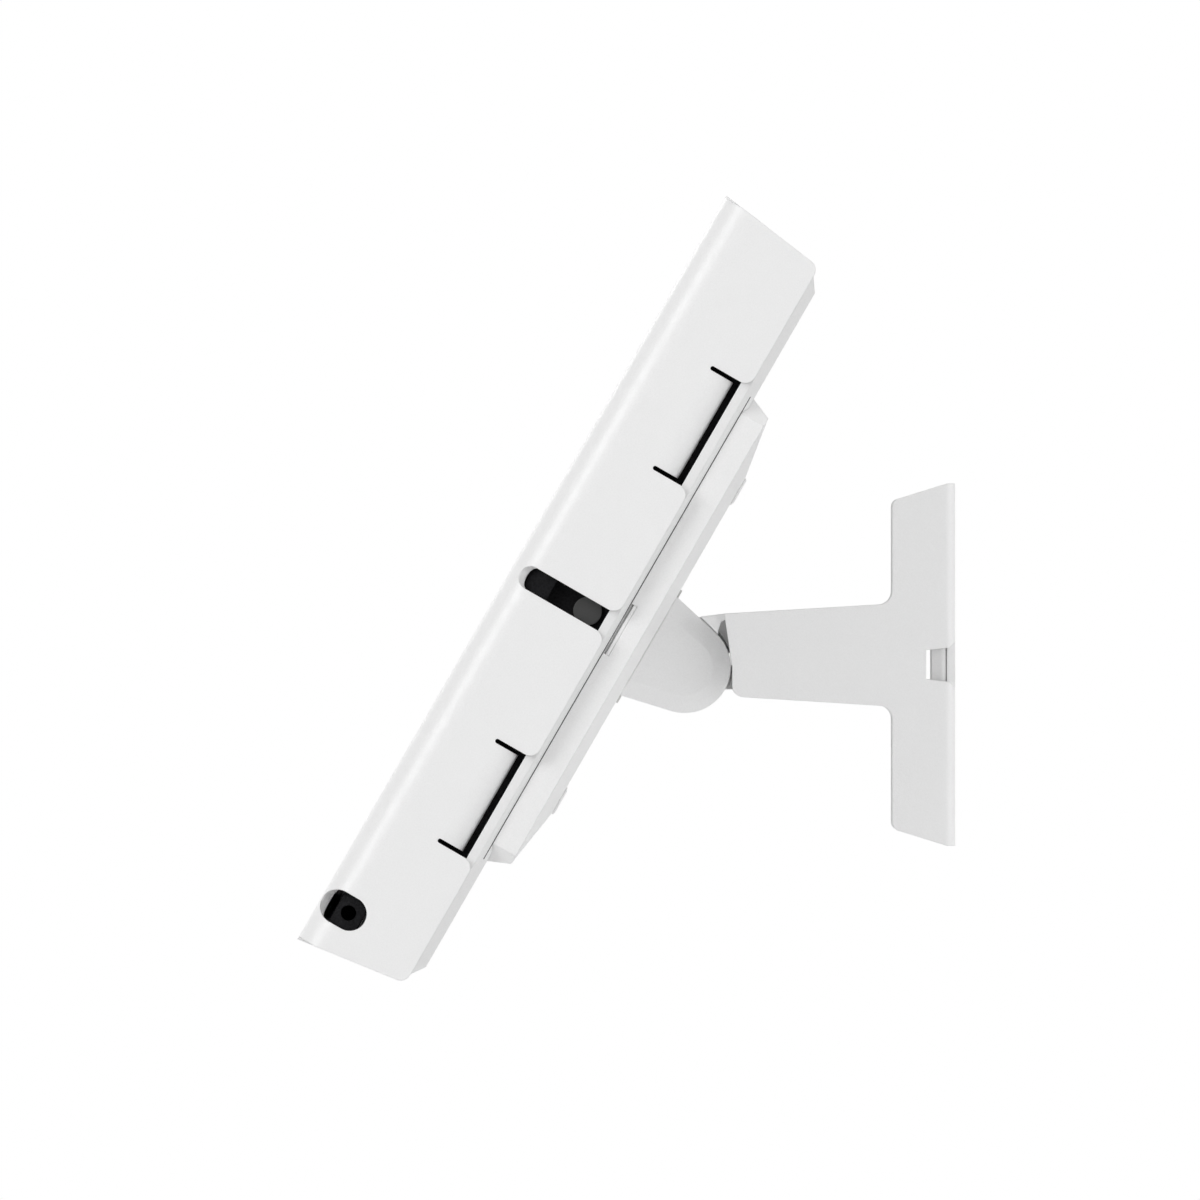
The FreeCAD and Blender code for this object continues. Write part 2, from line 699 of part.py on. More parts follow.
def make_knuckle_cap(label, hand):
    """Moulded cap over one fork ear, bevelled round its flat face and hollow for the bolt."""
    body = new_body(label, leans=True)
    side = new_sketch(body, "side", hand * fork_outside)
    knuckle_outline(side)
    pad(body, side, S["cap_depth"], reverse=hand < 0)
    rim = []
    for index, edge in enumerate(body.Tip.Shape.Edges, start=1):
        if all(abs(v.Point.x - hand * cap_outside.number) < 0.001 for v in edge.Vertexes):
            rim.append(f"Edge{index}")
    bevel = body.newObject("PartDesign::Chamfer", label + "_bevel")
    bevel.Base = (bevel.BaseFeature, rim)
    bevel.ChamferType = "Two distances"
    bind(bevel, "Size", S["cap_bevel_depth"])
    bind(bevel, "Size2", S["cap_bevel"])
    doc.recompute()
    flat = [face for face in bevel.Shape.Faces if abs(face.CenterOfMass.x) > cap_outside.number - 0.01]
    widest = 2 * (S["knuckle_radius"] - S["cap_bevel"]).number
    if flat and abs(flat[0].BoundBox.ZLength - widest) > 2:
        bevel.FlipDirection = True
        doc.recompute()
    hollow = new_sketch(body, "side", hand * fork_outside)
    circle(hollow, ZERO, ZERO, S["cap_pocket"])
    pocket(body, hollow, S["cap_depth"] - S["cap_floor"], reverse=hand > 0)


def washer(body, inner, outer, start, thickness):
    """Ring about the tilt axis from one station along x outwards."""
    ring = new_sketch(body, "side", start)
    circle(ring, ZERO, ZERO, outer)
    circle(ring, ZERO, ZERO, inner)
    pad(body, ring, thickness)


def make_friction_washer(label, hand):
    """Thin disc between a neck ear and a fork ear; it stays with the neck."""
    body = new_body(label, leans=True)
    start = S["neck_ear_inside"] + S["neck_ear"]
    if hand < 0:
        start = -start - S["washer_thickness"]
    washer(body, S["bolt_radius"] + S["running_gap"], S["friction_radius"], start, S["washer_thickness"])


def make_spring_washer(label, hand):
    """Spring washer under the bolt head or the nut."""
    body = new_body(label, leans=True)
    start = fork_outside
    if hand < 0:
        start = -fork_outside - S["spring_washer"]
    washer(
        body,
        S["bolt_radius"] + S["running_gap"],
        S["bolt_head_radius"],
        start,
        S["spring_washer"],
    )


def make_tilt_bolt():
    """Socket button-head bolt along the tilt axis."""
    body = new_body("tilt_bolt", leans=True)
    seat = fork_outside + S["spring_washer"]
    shank = new_sketch(body, "side", -seat - S["nut_height"])
    circle(shank, ZERO, ZERO, S["bolt_radius"])
    pad(body, shank, seat * 2 + S["nut_height"])
    head = new_sketch(body, "side", seat)
    circle(head, ZERO, ZERO, S["bolt_head_radius"])
    pad(body, head, S["bolt_head"])
    socket = new_sketch(body, "side", seat + S["bolt_head"])
    hexagon(socket, ZERO, ZERO, S["bolt_socket"])
    pocket(body, socket, S["bolt_head"] / 2)


def make_tilt_nut():
    """Hexagon nut that sets the tilt friction."""
    body = new_body("tilt_nut", leans=True)
    seat = fork_outside + S["spring_washer"]
    ring = new_sketch(body, "side", -seat - S["nut_height"])
    hexagon(ring, ZERO, ZERO, S["nut_flats"])
    circle(ring, ZERO, ZERO, S["bolt_radius"] + S["running_gap"])
    pad(body, ring, S["nut_height"])


# Stations along local y of the swivel, all in front of the tilt axis
cover_face = -S["axis_to_cover"]
fork_floor = -S["knuckle_base"] + S["fork_base"]
front_face = -S["axis_to_front"]


def behind_front(depth):
    """Local y of a depth behind the front face."""
    return front_face + depth


def make_swivel_disc():
    """Thin disc on the cover, which the knuckle foot turns on."""
    body = new_body("swivel_disc", leans=True)
    bore = S["hub_radius"] + S["running_gap"]
    back = cover_face + S["swivel_disc"]
    rim = S["swivel_disc_radius"]
    turned(body, [(bore, cover_face), (rim, cover_face), (rim, back), (bore, back)])


plate_face = behind_front(S["tray_back"]) + S["plate_sheet"]


def make_swivel_hub():
    """Hollow hub: its flange bears on the mount plate and its tube carries the knuckle."""
    body = new_body("swivel_hub", leans=True)
    bore = S["hub_bore"]
    tube = S["hub_radius"]
    flange = S["hub_flange_radius"]
    step = plate_face + S["hub_flange"]
    end = fork_floor + S["fit_gap"] + S["hub_washer"] + S["hub_nut"]
    turned(
        body,
        [
            (bore, plate_face),
            (flange, plate_face),
            (flange, step),
            (tube, step),
            (tube, end),
            (bore, end),
        ],
    )


def make_hub_ring(label, inner, outer, start, thickness):
    body = new_body(label, leans=True)
    stop = start + thickness
    turned(body, [(inner, start), (outer, start), (outer, stop), (inner, stop)])
    return body


def make_hub_nut():
    """Round nut with two spanner slots, threaded on the end of the hub."""
    start = fork_floor + S["fit_gap"] + S["hub_washer"]
    body = make_hub_ring(
        "hub_nut", S["hub_radius"] + S["running_gap"], S["hub_nut_radius"], start, S["hub_nut"]
    )
    slots = new_sketch(body, "front", -start - S["hub_nut"] - S["fit_gap"])
    width = S["hub_nut"] / 2
    rectangle(slots, -width / 2, width / 2, -S["hub_nut_radius"] * 2, S["hub_nut_radius"] * 2)
    pocket(body, slots, S["hub_nut"] / 2 + S["fit_gap"], reverse=True)


# Side profile of the front frame
half_width = S["head_width"] / 2
half_height = S["head_height"] / 2
panel_back = behind_front(S["side_depth"])


window_across = half_width - S["bezel_side"]
window_up = half_height - S["bezel_end"]
rim_across = half_width - S["frame_sheet"] - S["tray_gap"]
cover_across = rim_across - S["cover_inset"]
cover_flat_across = cover_across - S["cover_slope_across"]
cover_flat_up = S["cover_half_height"] - S["cover_slope_up"]
tray_screw_across = half_width - S["tray_screw_side"]
tray_screw_up = half_height - S["tray_screw_end"]


def end_height(depth, inset=ZERO):
    """Half height of the tapered end panels at a depth, moved in by an inset."""
    return half_height - depth * tangent(S["end_taper"]) - inset


def make_front_frame():
    """One folded sheet: the front with its window and four side panels with their cut-outs."""
    body = new_body("front_frame", leans=True)
    side = new_sketch(body, "side")
    back_height = end_height(S["side_depth"])
    corners = [
        (front_face, -half_height),
        (front_face, half_height),
        (panel_back, back_height),
        (panel_back, -back_height),
    ]
    outline(side, corners)
    pad(body, side, S["head_width"], both=True)
    bend = [(half_width, front_face), (-half_width, front_face)]
    fillet(body, "z", bend, S["side_bend"])
    fillet(body, "x", corners[2:], S["panel_corner"])

    # Hollow behind the sheet
    wall = S["frame_sheet"]
    slant_wall = wall / cosine(S["end_taper"])
    inner_front = front_face + wall
    inner_front_height = end_height(wall, slant_wall)
    inner_back_height = end_height(S["side_depth"], slant_wall)
    hollow = new_sketch(body, "side")
    outline(
        hollow,
        [
            (inner_front, -inner_front_height),
            (inner_front, inner_front_height),
            (panel_back, inner_back_height),
            (panel_back, -inner_back_height),
        ],
    )
    straight = S["head_width"] - 2 * S["side_bend"]
    pocket(body, hollow, straight, both=True)
    inner_bend = S["side_bend"] - wall
    for hand in (-1, 1):
        sector = new_sketch(body, "side", hand * (half_width - S["side_bend"] - S["fit_gap"]))
        inner_bend_back = front_face + S["side_bend"]
        outline(
            sector,
            [
                (inner_bend_back, -end_height(S["side_bend"], slant_wall)),
                (inner_bend_back, end_height(S["side_bend"], slant_wall)),
                (panel_back, inner_back_height),
                (panel_back, -inner_back_height),
            ],
        )
        depth = S["side_bend"] - wall + S["fit_gap"]
        pocket(body, sector, depth, reverse=hand > 0)
        scoop = new_sketch(body, "plan")
        circle(scoop, hand * (half_width - S["side_bend"]), inner_bend_back, inner_bend)
        pocket(body, scoop, 2 * end_height(S["side_bend"], slant_wall), both=True)

    window = new_sketch(body, "front", -front_face + S["fit_gap"])
    rectangle(window, -window_across, window_across, -window_up, window_up)
    pocket(body, window, wall + S["fit_gap"] * 2)
    fillet(body, "y", four(window_across, window_up), S["window_corner"])
    return body


def leaning_end(body, hand, middle, up, radius, lip):
    """Round front end of a hole: its wall is upright for a lip, then square to the bent sheet."""
    outside = half_width + S["fit_gap"]
    upright = new_sketch(body, "side", hand * outside)
    circle(upright, middle, up, radius)
    pocket(body, upright, lip + S["fit_gap"], reverse=hand < 0)
    leaning = new_sketch(body, "side", hand * (half_width - lip))
    circle(leaning, middle, up, radius)
    cut = pocket(body, leaning, S["side_bend"], reverse=hand < 0)
    lean = math.radians(S["hole_lean"].number)
    cut.UseCustomVector = True
    cut.AlongSketchNormal = False
    cut.Direction = FreeCAD.Vector(-hand * math.cos(lean), math.sin(lean), 0)
    cut.Reversed = False
    doc.recompute()


def slot_and_tabs(body):
    """Cut the central slot and the slits, and curl the two tabs of each side panel."""
    start = behind_front(S["slot_start"]) + S["slot_half"]
    slot = new_sketch(body, "side")
    mouth = panel_back + S["fit_gap"]
    rectangle(slot, start, mouth, -S["slot_half"], S["slot_half"])
    pocket(body, slot, S["head_width"] + S["fit_gap"], both=True)
    for hand in (-1, 1):
        leaning_end(body, hand, start, ZERO, S["slot_half"], S["slot_lip"])
    slit = S["slit_width"]
    curl_start = behind_front(S["slit_start"])
    for up in (-1, 1):
        near = up * S["tab_near"]
        far = up * S["tab_far"]
        low = near if up > 0 else far
        high = far if up > 0 else near
        recess = new_sketch(body, "side")
        rectangle(recess, curl_start, mouth, low, high)
        pocket(body, recess, S["head_width"] + S["fit_gap"], both=True)
        for edge, inward in ((low, 1), (high, -1)):
            end = new_sketch(body, "side")
            circle(end, curl_start, edge + inward * slit / 2, slit / 2)
            pocket(body, end, S["head_width"] + S["fit_gap"], both=True)
    fillet(
        body,
        "x",
        [(panel_back, hand * S["slot_half"]) for hand in (-1, 1)]
        + [(panel_back, hand * S["tab_near"]) for hand in (-1, 1)]
        + [(panel_back, hand * S["tab_far"]) for hand in (-1, 1)],
        S["slot_mouth"],
    )
    for hand in (-1, 1):
        tabs = new_sketch(body, "front", -curl_start)
        outer = hand * half_width
        inner = hand * (half_width - S["frame_sheet"])
        for up in (-1, 1):
            near = up * (S["tab_near"] + slit)
            far = up * (S["tab_far"] - slit)
            rectangle(tabs, min_of(outer, inner), max_of(outer, inner), min_of(near, far), max_of(near, far))
        pivot = hand * (half_width - S["tab_curl"])
        axis = tabs.addGeometry(
            Part.LineSegment(
                FreeCAD.Vector(pivot.number, 0, 0), FreeCAD.Vector(pivot.number, 1, 0)
            ),
            True,
        )
        pin_point(tabs, axis, 1, pivot, ZERO)
        pin_point(tabs, axis, 2, pivot, as_size(1))
        curl = body.newObject("PartDesign::Revolution", "tab_curl")
        curl.Profile = tabs
        curl.ReferenceAxis = (tabs, ["Axis0"])
        curl.Angle = 90
        curl.Reversed = hand < 0
        doc.recompute()


def min_of(first, second):
    return first if first.number < second.number else second


def max_of(first, second):
    return first if first.number > second.number else second


def jack_hole(body):
    """Obround hole at the lower front corner of the right side panel."""
    middle = behind_front(S["jack_depth"])
    half = S["jack_length"] / 2
    up = -S["jack_offset"]
    radius = S["jack_radius"]
    hole = new_sketch(body, "side", half_width - S["side_bend"])
    rectangle(hole, middle - half, middle + half, up - radius, up + radius)
    pocket(body, hole, S["head_width"], reverse=True)
    end = new_sketch(body, "side", half_width - S["side_bend"])
    circle(end, middle + half, up, radius)
    pocket(body, end, S["head_width"], reverse=True)
    leaning_end(body, 1, middle - half, up, radius, S["jack_lip"])


def finish_front_frame(body):
    """Open the folded corner seams at the front."""
    depth = S["seam_depth"]
    for hand in (-1, 1):
        for up in (-1, 1):
            seam = new_sketch(body, "side", hand * (half_width + S["fit_gap"]))
            outline(
                seam,
                [
                    (front_face - S["fit_gap"], up * (half_height - S["seam_width"])),
                    (front_face + depth, up * end_height(depth)),
                    (front_face + depth, up * (half_height + S["seam_width"])),
                    (front_face - S["fit_gap"], up * (half_height + S["seam_width"])),
                ],
            )
            pocket(body, seam, S["side_bend"] + S["fit_gap"] * 2, reverse=hand < 0)


def make_back_tray():
    """Shallow pressed pan that closes the back of the frame."""
    body = new_body("back_tray", leans=True)
    rim_up = end_height(S["side_depth"], S["frame_sheet"] / cosine(S["end_taper"]) + S["tray_gap"])
    top_across = rim_across - S["tray_bevel"]
    top_up = rim_up - S["tray_bevel"]
    front = behind_front(S["tray_front"])
    shoulder = behind_front(S["tray_back"] - S["tray_bevel_depth"])
    back = behind_front(S["tray_back"])
    side = new_sketch(body, "side")
    outline(
        side,
        [(front, -rim_up), (front, rim_up), (shoulder, rim_up), (back, top_up), (back, -top_up), (shoulder, -rim_up)],
    )
    pad(body, side, rim_across * 2, both=True)
    for hand in (-1, 1):
        bevel = new_sketch(body, "plan")
        beyond = hand * (rim_across + S["tray_gap"])
        outline(
            bevel,
            [
                (hand * rim_across, shoulder),
                (hand * top_across, back),
                (hand * top_across, back + S["tray_gap"]),
                (beyond, back + S["tray_gap"]),
                (beyond, shoulder),
            ],
        )
        pocket(body, bevel, rim_up * 2 + S["tray_gap"], both=True)
    wall = S["tray_sheet"]
    inside = new_sketch(body, "side")
    outline(
        inside,
        [
            (front, -rim_up + wall),
            (front, rim_up - wall),
            (shoulder - wall / 2, rim_up - wall),
            (back - wall, top_up - wall / 2),
            (back - wall, -top_up + wall / 2),
            (shoulder - wall / 2, -rim_up + wall),
        ],
    )
    pocket(body, inside, 2 * (rim_across - S["tray_bevel"]), both=True)
    for hand in (-1, 1):
        edge = new_sketch(body, "plan")
        inner = hand * (top_across - S["tray_bevel"])
        outline(
            edge,
            [
                (inner, front),
                (hand * (rim_across - wall), front),
                (hand * (rim_across - wall), shoulder - wall / 2),
                (hand * (top_across - wall / 2), back - wall),
                (inner, back - wall),
            ],
        )
        pocket(body, edge, 2 * (top_up - wall / 2), both=True)
    holes = new_sketch(body, "front", -back - S["fit_gap"])
    circle(holes, ZERO, ZERO, S["cable_port_radius"])
    for across, up in plate_screws() + cover_screws():
        circle(holes, across, up, S["small_screw"] + S["running_gap"])
    for across, up in tray_screws():
        circle(holes, across, up, S["small_screw"] + S["running_gap"])
    pocket(body, holes, wall + S["fit_gap"] * 2, reverse=True)
    rims = []
    for index, edge in enumerate(body.Tip.Shape.Edges, start=1):
        middle = edge.BoundBox.Center
        level = abs(middle.y - back.number) < 0.001 and edge.BoundBox.YLength < 0.001
        for across, up in tray_screws():
            beside = math.hypot(middle.x - across.number, middle.z - up.number) < 0.01
            if level and beside and len(edge.Vertexes) == 1:
                rims.append(f"Edge{index}")
    sinks = body.newObject("PartDesign::Chamfer", "back_tray_countersinks")
    sinks.Base = (sinks.BaseFeature, rims)
    bind(sinks, "Size", S["small_head"])
    doc.recompute()


def four(across, up):
    return [(one * across, two * up) for one in (-1, 1) for two in (-1, 1)]


def plate_screws():
    return four(S["plate_hole_across"], S["plate_hole_up"])


def cover_screws():
    return four(
        cover_flat_across - S["screw_edge_across"], cover_flat_up - S["screw_edge_up"]
    )


def tray_screws():
    return four(tray_screw_across, tray_screw_up)


# The cover is the common part of three extruded outlines, less the same three moved in by its wall.


def cover_outlines(inset, drop):
    """Sketches of the cover seen along x, z and y, moved in by an inset."""
    base = behind_front(S["cover_base"]) - drop
    shoulder = behind_front(S["cover_shoulder"]) - inset
    flat = cover_face - inset
    wide = cover_across - inset
    tall = S["cover_half_height"] - inset
    flat_wide = cover_flat_across - inset
    flat_tall = cover_flat_up - inset
    lean = S["cover_draft"]
    seen_along_x = [
        (base, -tall),
        (base, tall),
        (shoulder, tall - lean),
        (flat, flat_tall),
        (flat, -flat_tall),
        (shoulder, -tall + lean),
    ]
    seen_along_z = [
        (-wide, base),
        (-wide, shoulder),
        (-flat_wide, flat),
        (flat_wide, flat),
        (wide, shoulder),
        (wide, base),
    ]
    corner = S["cover_corner"]
    seen_along_y = [
        (-wide, -tall + corner),
        (-wide + corner, -tall),
        (wide - corner, -tall),
        (wide, -tall + corner),
        (wide, tall - corner),
        (wide - corner, tall),
        (-wide + corner, tall),
        (-wide, tall - corner),
    ]
    return seen_along_x, seen_along_z, seen_along_y


def loose_sketch(name, turn, corners):
    """A sketch outside any body, turned to one of the three views."""
    sketch = doc.addObject("Sketcher::SketchObject", name)
    sketch.Placement = FreeCAD.Placement(FreeCAD.Vector(0, 0, 0), turn)
    outline(sketch, corners)
    return sketch


def extrusion(name, sketch, length):
    """Extrude a loose sketch by the same length to both sides."""
    item = doc.addObject("Part::Extrusion", name)
    item.Base = sketch
    item.DirMode = "Normal"
    item.Solid = True
    item.Symmetric = True
    bind(item, "LengthFwd", length)
    return item


def cover_form(name, inset, drop):
    """Common part of the three extruded outlines."""
    seen_along_x, seen_along_z, seen_along_y = cover_outlines(inset, drop)
    to_side = FreeCAD.Rotation(FreeCAD.Vector(1, 1, 1), 120)
    to_plan = FreeCAD.Rotation()
    to_front = FreeCAD.Rotation(FreeCAD.Vector(1, 0, 0), 90)
    long = S["head_width"] * 2
    common = doc.addObject("Part::MultiCommon", name)
    common.Shapes = [
        extrusion(name + "_x", loose_sketch(name + "_sketch_x", to_side, seen_along_x), long),
        extrusion(name + "_z", loose_sketch(name + "_sketch_z", to_plan, seen_along_z), long),
        extrusion(name + "_y", loose_sketch(name + "_sketch_y", to_front, seen_along_y), long),
    ]
    return common


def cylinder_along_y(name, radius, across, up, start, length, cone=False):
    """Cylinder along local y from a station, or a cone that widens by its own length."""
    item = doc.addObject("Part::Cone" if cone else "Part::Cylinder", name)
    item.Placement = FreeCAD.Placement(
        FreeCAD.Vector(across.number, start.number, up.number),
        FreeCAD.Rotation(FreeCAD.Vector(1, 0, 0), -90),
    )
    if cone:
        bind(item, "Radius1", radius)
        bind(item, "Radius2", radius + length)
    else:
        bind(item, "Radius", radius)
    bind(item, "Height", length)
    bind(item, "Placement.Base.x", across)
    bind(item, "Placement.Base.y", start)
    bind(item, "Placement.Base.z", up)
    return item


def cover_groove(base):
    """Ring that cuts the shadow groove round the foot of the cover."""
    turn = FreeCAD.Rotation(FreeCAD.Vector(1, 1, 1), 120)
    rings = []
    for name, inset in (("groove_outside", -S["groove_depth"]), ("groove_inside", S["groove_depth"])):
        across = cover_across - inset
        up = S["cover_half_height"] - inset
        low = base - S["groove_depth"]
        high = base + S["groove_width"]
        corners = [(low, -up), (low, up), (high, up), (high, -up)]
        rings.append(extrusion(name, loose_sketch(name + "_sketch", turn, corners), across * 2))
    ring = doc.addObject("Part::Cut", "cover_groove")
    ring.Base, ring.Tool = rings
    return ring


def make_rear_cover():
    """Shallow domed shell over the mount plate, seated on the tray."""
    outer = cover_form("cover_outside", ZERO, ZERO)
    inner = cover_form("cover_inside", S["cover_sheet"], S["cover_sheet"])
    cutters = [inner]
    base = behind_front(S["cover_base"])
    tray_face = behind_front(S["tray_back"])
    seat_sketch = loose_sketch(
        "cover_seat_sketch",
        FreeCAD.Rotation(),
        [
            (-cover_across - S["tray_bevel"], base - S["cover_sheet"]),
            (cover_across + S["tray_bevel"], base - S["cover_sheet"]),
            (seat_corner(), base),
            (tray_top_across(), tray_face),
            (-tray_top_across(), tray_face),
            (-seat_corner(), base),
        ],
    )
    cutters.append(extrusion("cover_seat", seat_sketch, S["head_width"] * 2))
    notch_sketch = loose_sketch(
        "cover_notch_sketch",
        FreeCAD.Rotation(FreeCAD.Vector(1, 1, 1), 120),
        [
            (base - S["cover_notch"], -S["cover_notch_half"]),
            (base - S["cover_notch"], S["cover_notch_half"]),
            (tray_face + S["cover_notch"], S["cover_notch_half"]),
            (tray_face + S["cover_notch"], -S["cover_notch_half"]),
        ],
    )
    cutters.append(extrusion("cover_notch_cut", notch_sketch, S["head_width"] * 2))
    cutters.append(cover_groove(base))
    hub_cut = cylinder_along_y(
        "cover_hub_hole",
        S["hub_radius"] + S["running_gap"],
        ZERO,
        ZERO,
        tray_face,
        S["axis_to_cover"] * 2,
    )
    cutters.append(hub_cut)
    for index, (across, up) in enumerate(cover_screws()):
        cutters.append(
            cylinder_along_y(
                f"cover_screw_hole_{index}",
                S["small_screw"] + S["running_gap"],
                across,
                up,
                tray_face - S["fit_gap"],
                S["axis_to_cover"] * 2,
            )
        )
    tools = doc.addObject("Part::MultiFuse", "cover_cutters")
    tools.Shapes = cutters
    cover = doc.addObject("Part::Cut", "rear_cover")
    cover.Base = outer
    cover.Tool = tools
    cover.Label = "rear_cover"
    lean_back(cover)
    SUBPARTS.append(cover)
    doc.recompute()


def tray_top_across():
    """Half width of the flat back of the tray."""
    return rim_across - S["tray_bevel"]


def tray_top_up():
    """Half height of the flat back of the tray."""
    slant = S["frame_sheet"] / cosine(S["end_taper"])
    return end_height(S["side_depth"], slant + S["tray_gap"]) - S["tray_bevel"]


def seat_corner():
    """Where the tray bevel passes the lowest edge of the cover."""
    share = (S["tray_back"] - S["cover_base"]) / S["tray_bevel_depth"]
    return tray_top_across() + S["tray_bevel"] * share


def make_mount_plate():
    """Steel plate screwed to the tray under the cover; it carries the hub."""
    body = new_body("mount_plate", leans=True)
    plate = new_sketch(body, "front", -behind_front(S["tray_back"]))
    across = S["plate_half_width"]
    up = S["plate_half_height"]
    rectangle(plate, -across, across, -up, up)
    circle(plate, ZERO, ZERO, S["cable_port_radius"])
    for one, two in plate_screws():
        circle(plate, one, two, S["small_screw"] + S["running_gap"])
    pad(body, plate, S["plate_sheet"], reverse=True)
    fillet(body, "y", four(across, up), S["window_corner"])


def screw_set(label, places, seat, length, height, sunk=False):
    """Group of small screws along local y, with pan heads on the seat or heads sunk under it."""
    shapes = []
    radius = S["small_screw"]
    for index, (across, up) in enumerate(places):
        shank = cylinder_along_y(
            f"{label}_shank_{index}", radius, across, up, seat - length, length
        )
        if sunk:
            head = cylinder_along_y(
                f"{label}_head_{index}", radius, across, up, seat - height, height, cone=True
            )
        else:
            head = cylinder_along_y(
                f"{label}_head_{index}", S["small_head_radius"], across, up, seat, height
            )
        whole = doc.addObject("Part::Fuse", f"{label}_{index}")
        whole.Base = shank
        whole.Tool = head
        shapes.append(whole)
    group = doc.addObject("Part::Compound", label)
    group.Links = shapes
    group.Label = label
    lean_back(group)
    SUBPARTS.append(group)
    doc.recompute()


def make_corner_blocks():
    """Threaded blocks welded to the end panels of the frame; the tray screws hold in them."""
    body = new_body("corner_blocks", leans=True)
    tray_inside = S["tray_back"] - S["tray_sheet"]
    near = behind_front(tray_inside - S["block_half"] * 2)
    far = behind_front(tray_inside)
    foot = behind_front(tray_inside - S["block_half"] * 2 + S["block_foot"])
    slant = S["frame_sheet"] / cosine(S["end_taper"])
    at_near = end_height(tray_inside - S["block_half"] * 2, slant)
    at_foot = end_height(tray_inside - S["block_half"] * 2 + S["block_foot"], slant)
    low = tray_screw_up - S["block_half"]
    high = tray_top_up() - S["tray_sheet"] * 2
    for hand in (-1, 1):
        across = hand * tray_screw_across
        for up in (-1, 1):
            profile = new_sketch(body, "side", across)
            outline(
                profile,
                [
                    (near, up * low),
                    (near, up * at_near),
                    (foot, up * at_foot),
                    (foot, up * high),
                    (far, up * high),
                    (far, up * low),
                ],
            )
            pad(body, profile, S["block_half"] * 2, both=True)
    holes = new_sketch(body, "front", -far - S["fit_gap"])
    for across, up in tray_screws():
        circle(holes, across, up, S["small_screw"] + S["running_gap"])
    pocket(body, holes, S["block_half"] * 2 + S["fit_gap"] * 2, reverse=True)


def frame_strip(label, half_across, half_up, strip, start, thickness):
    """Flat rectangular ring, such as a gasket."""
    body = new_body(label, leans=True)
    ring = new_sketch(body, "front", -start)
    rectangle(ring, -half_across, half_across, -half_up, half_up)
    rectangle(ring, -half_across + strip, half_across - strip, -half_up + strip, half_up - strip)
    pad(body, ring, thickness, reverse=True)
    return body


def block(label, left, right, bottom, top, start, stop):
    """Plain block of foam between two stations along local y."""
    body = new_body(label, leans=True)
    face = new_sketch(body, "front", -start)
    rectangle(face, left, right, bottom, top)
    pad(body, face, stop - start, reverse=True)
    return body


def side_spacer(label, hand, inner, outer, tall):
    """Spacer beside the tablet, bevelled to clear the folded edge of the frame."""
    body = new_body(label, leans=True)
    front = behind_front(S["bay_front"])
    plan = new_sketch(body, "plan")
    outline(
        plan,
        [
            (hand * inner, front),
            (hand * (outer - S["spacer_bevel"]), front),
            (hand * outer, behind_front(S["side_bend"])),
            (hand * outer, behind_front(S["bay_back"])),
            (hand * inner, behind_front(S["bay_back"])),
        ],
    )
    pad(body, plan, tall * 2, both=True)
    return body


def make_bay_lining():
    """Gasket, spacers and backing blocks that hold a tablet in the frame."""
    inner_front = behind_front(S["frame_sheet"])
    bay_front = behind_front(S["bay_front"])
    bay_back = behind_front(S["bay_back"])
    tray_front = behind_front(S["tray_front"])
    frame_strip(
        "screen_gasket",
        window_across + S["gasket_width"],
        window_up + S["gasket_width"],
        S["gasket_width"],
        inner_front,
        bay_front - inner_front,
    )
    wide = rim_across
    tall = end_height(S["tray_front"], S["frame_sheet"] / cosine(S["end_taper"]) + S["tray_gap"])
    bay_wide = half_width - S["bay_side"]
    bay_tall = half_height - S["bay_end"]
    curl_inside = half_width - S["tab_curl"] - S["tray_gap"]
    side_spacer("spacer_left", -1, bay_wide, wide, tall)
    right = side_spacer("spacer_right", 1, bay_wide, wide, tall)
    port = new_sketch(right, "side", wide + S["fit_gap"])
    circle(port, behind_front(S["port_depth"]), -S["jack_offset"], S["port_radius"])
    pocket(right, port, wide - bay_wide + S["fit_gap"] * 2)
    block("spacer_top", -bay_wide, bay_wide, bay_tall, tall, bay_front, bay_back)
    block("spacer_bottom", -bay_wide, bay_wide, -tall, -bay_tall, bay_front, bay_back)
    joint = S["foam_joint"]
    lug = tray_screw_up - S["block_half"] - S["tray_gap"]
    middle = block(
        "backing_middle", -curl_inside, curl_inside, -joint, joint, bay_back, tray_front
    )
    channel = new_sketch(middle, "front", -tray_front - S["fit_gap"])
    half = S["channel_half"]
    rectangle(channel, -curl_inside - S["fit_gap"], half * 2, -half, half)
    pocket(middle, channel, S["channel_depth"] + S["fit_gap"], reverse=True)
    block("backing_upper", -curl_inside, curl_inside, joint, lug, bay_back, tray_front)
    block("backing_lower", -curl_inside, curl_inside, -lug, -joint, bay_back, tray_front)


def make_push_rivets():
    """Two push rivets in the middle block, whose heads show in the cable slots."""
    body = new_body("push_rivets", leans=True)
    stand = half_width - S["tab_curl"] - S["tray_gap"]
    middle = behind_front(S["rivet_depth"])
    for hand in (-1, 1):
        head = new_sketch(body, "side", hand * stand)
        circle(head, middle, ZERO, S["rivet_radius"])
        pad(body, head, S["rivet_head"], reverse=hand < 0)


def export():
    """Check every object and write one file for each sub-part."""
    doc.recompute()
    for item in doc.Objects:
        if "Invalid" in item.State or "Error" in item.State:
            raise RuntimeError(f"{item.Name} failed: {item.State}")
    os.makedirs("parts", exist_ok=True)
    for piece in SUBPARTS:
        shape = piece.Shape
        if shape.isNull() or not shape.isValid():
            raise RuntimeError(f"{piece.Label} has no valid shape")
        shape.exportStep(f"parts/{piece.Label}.step")
        print(f"{piece.Label}: {len(shape.Solids)} solid(s), {shape.Volume:.1f} mm3")


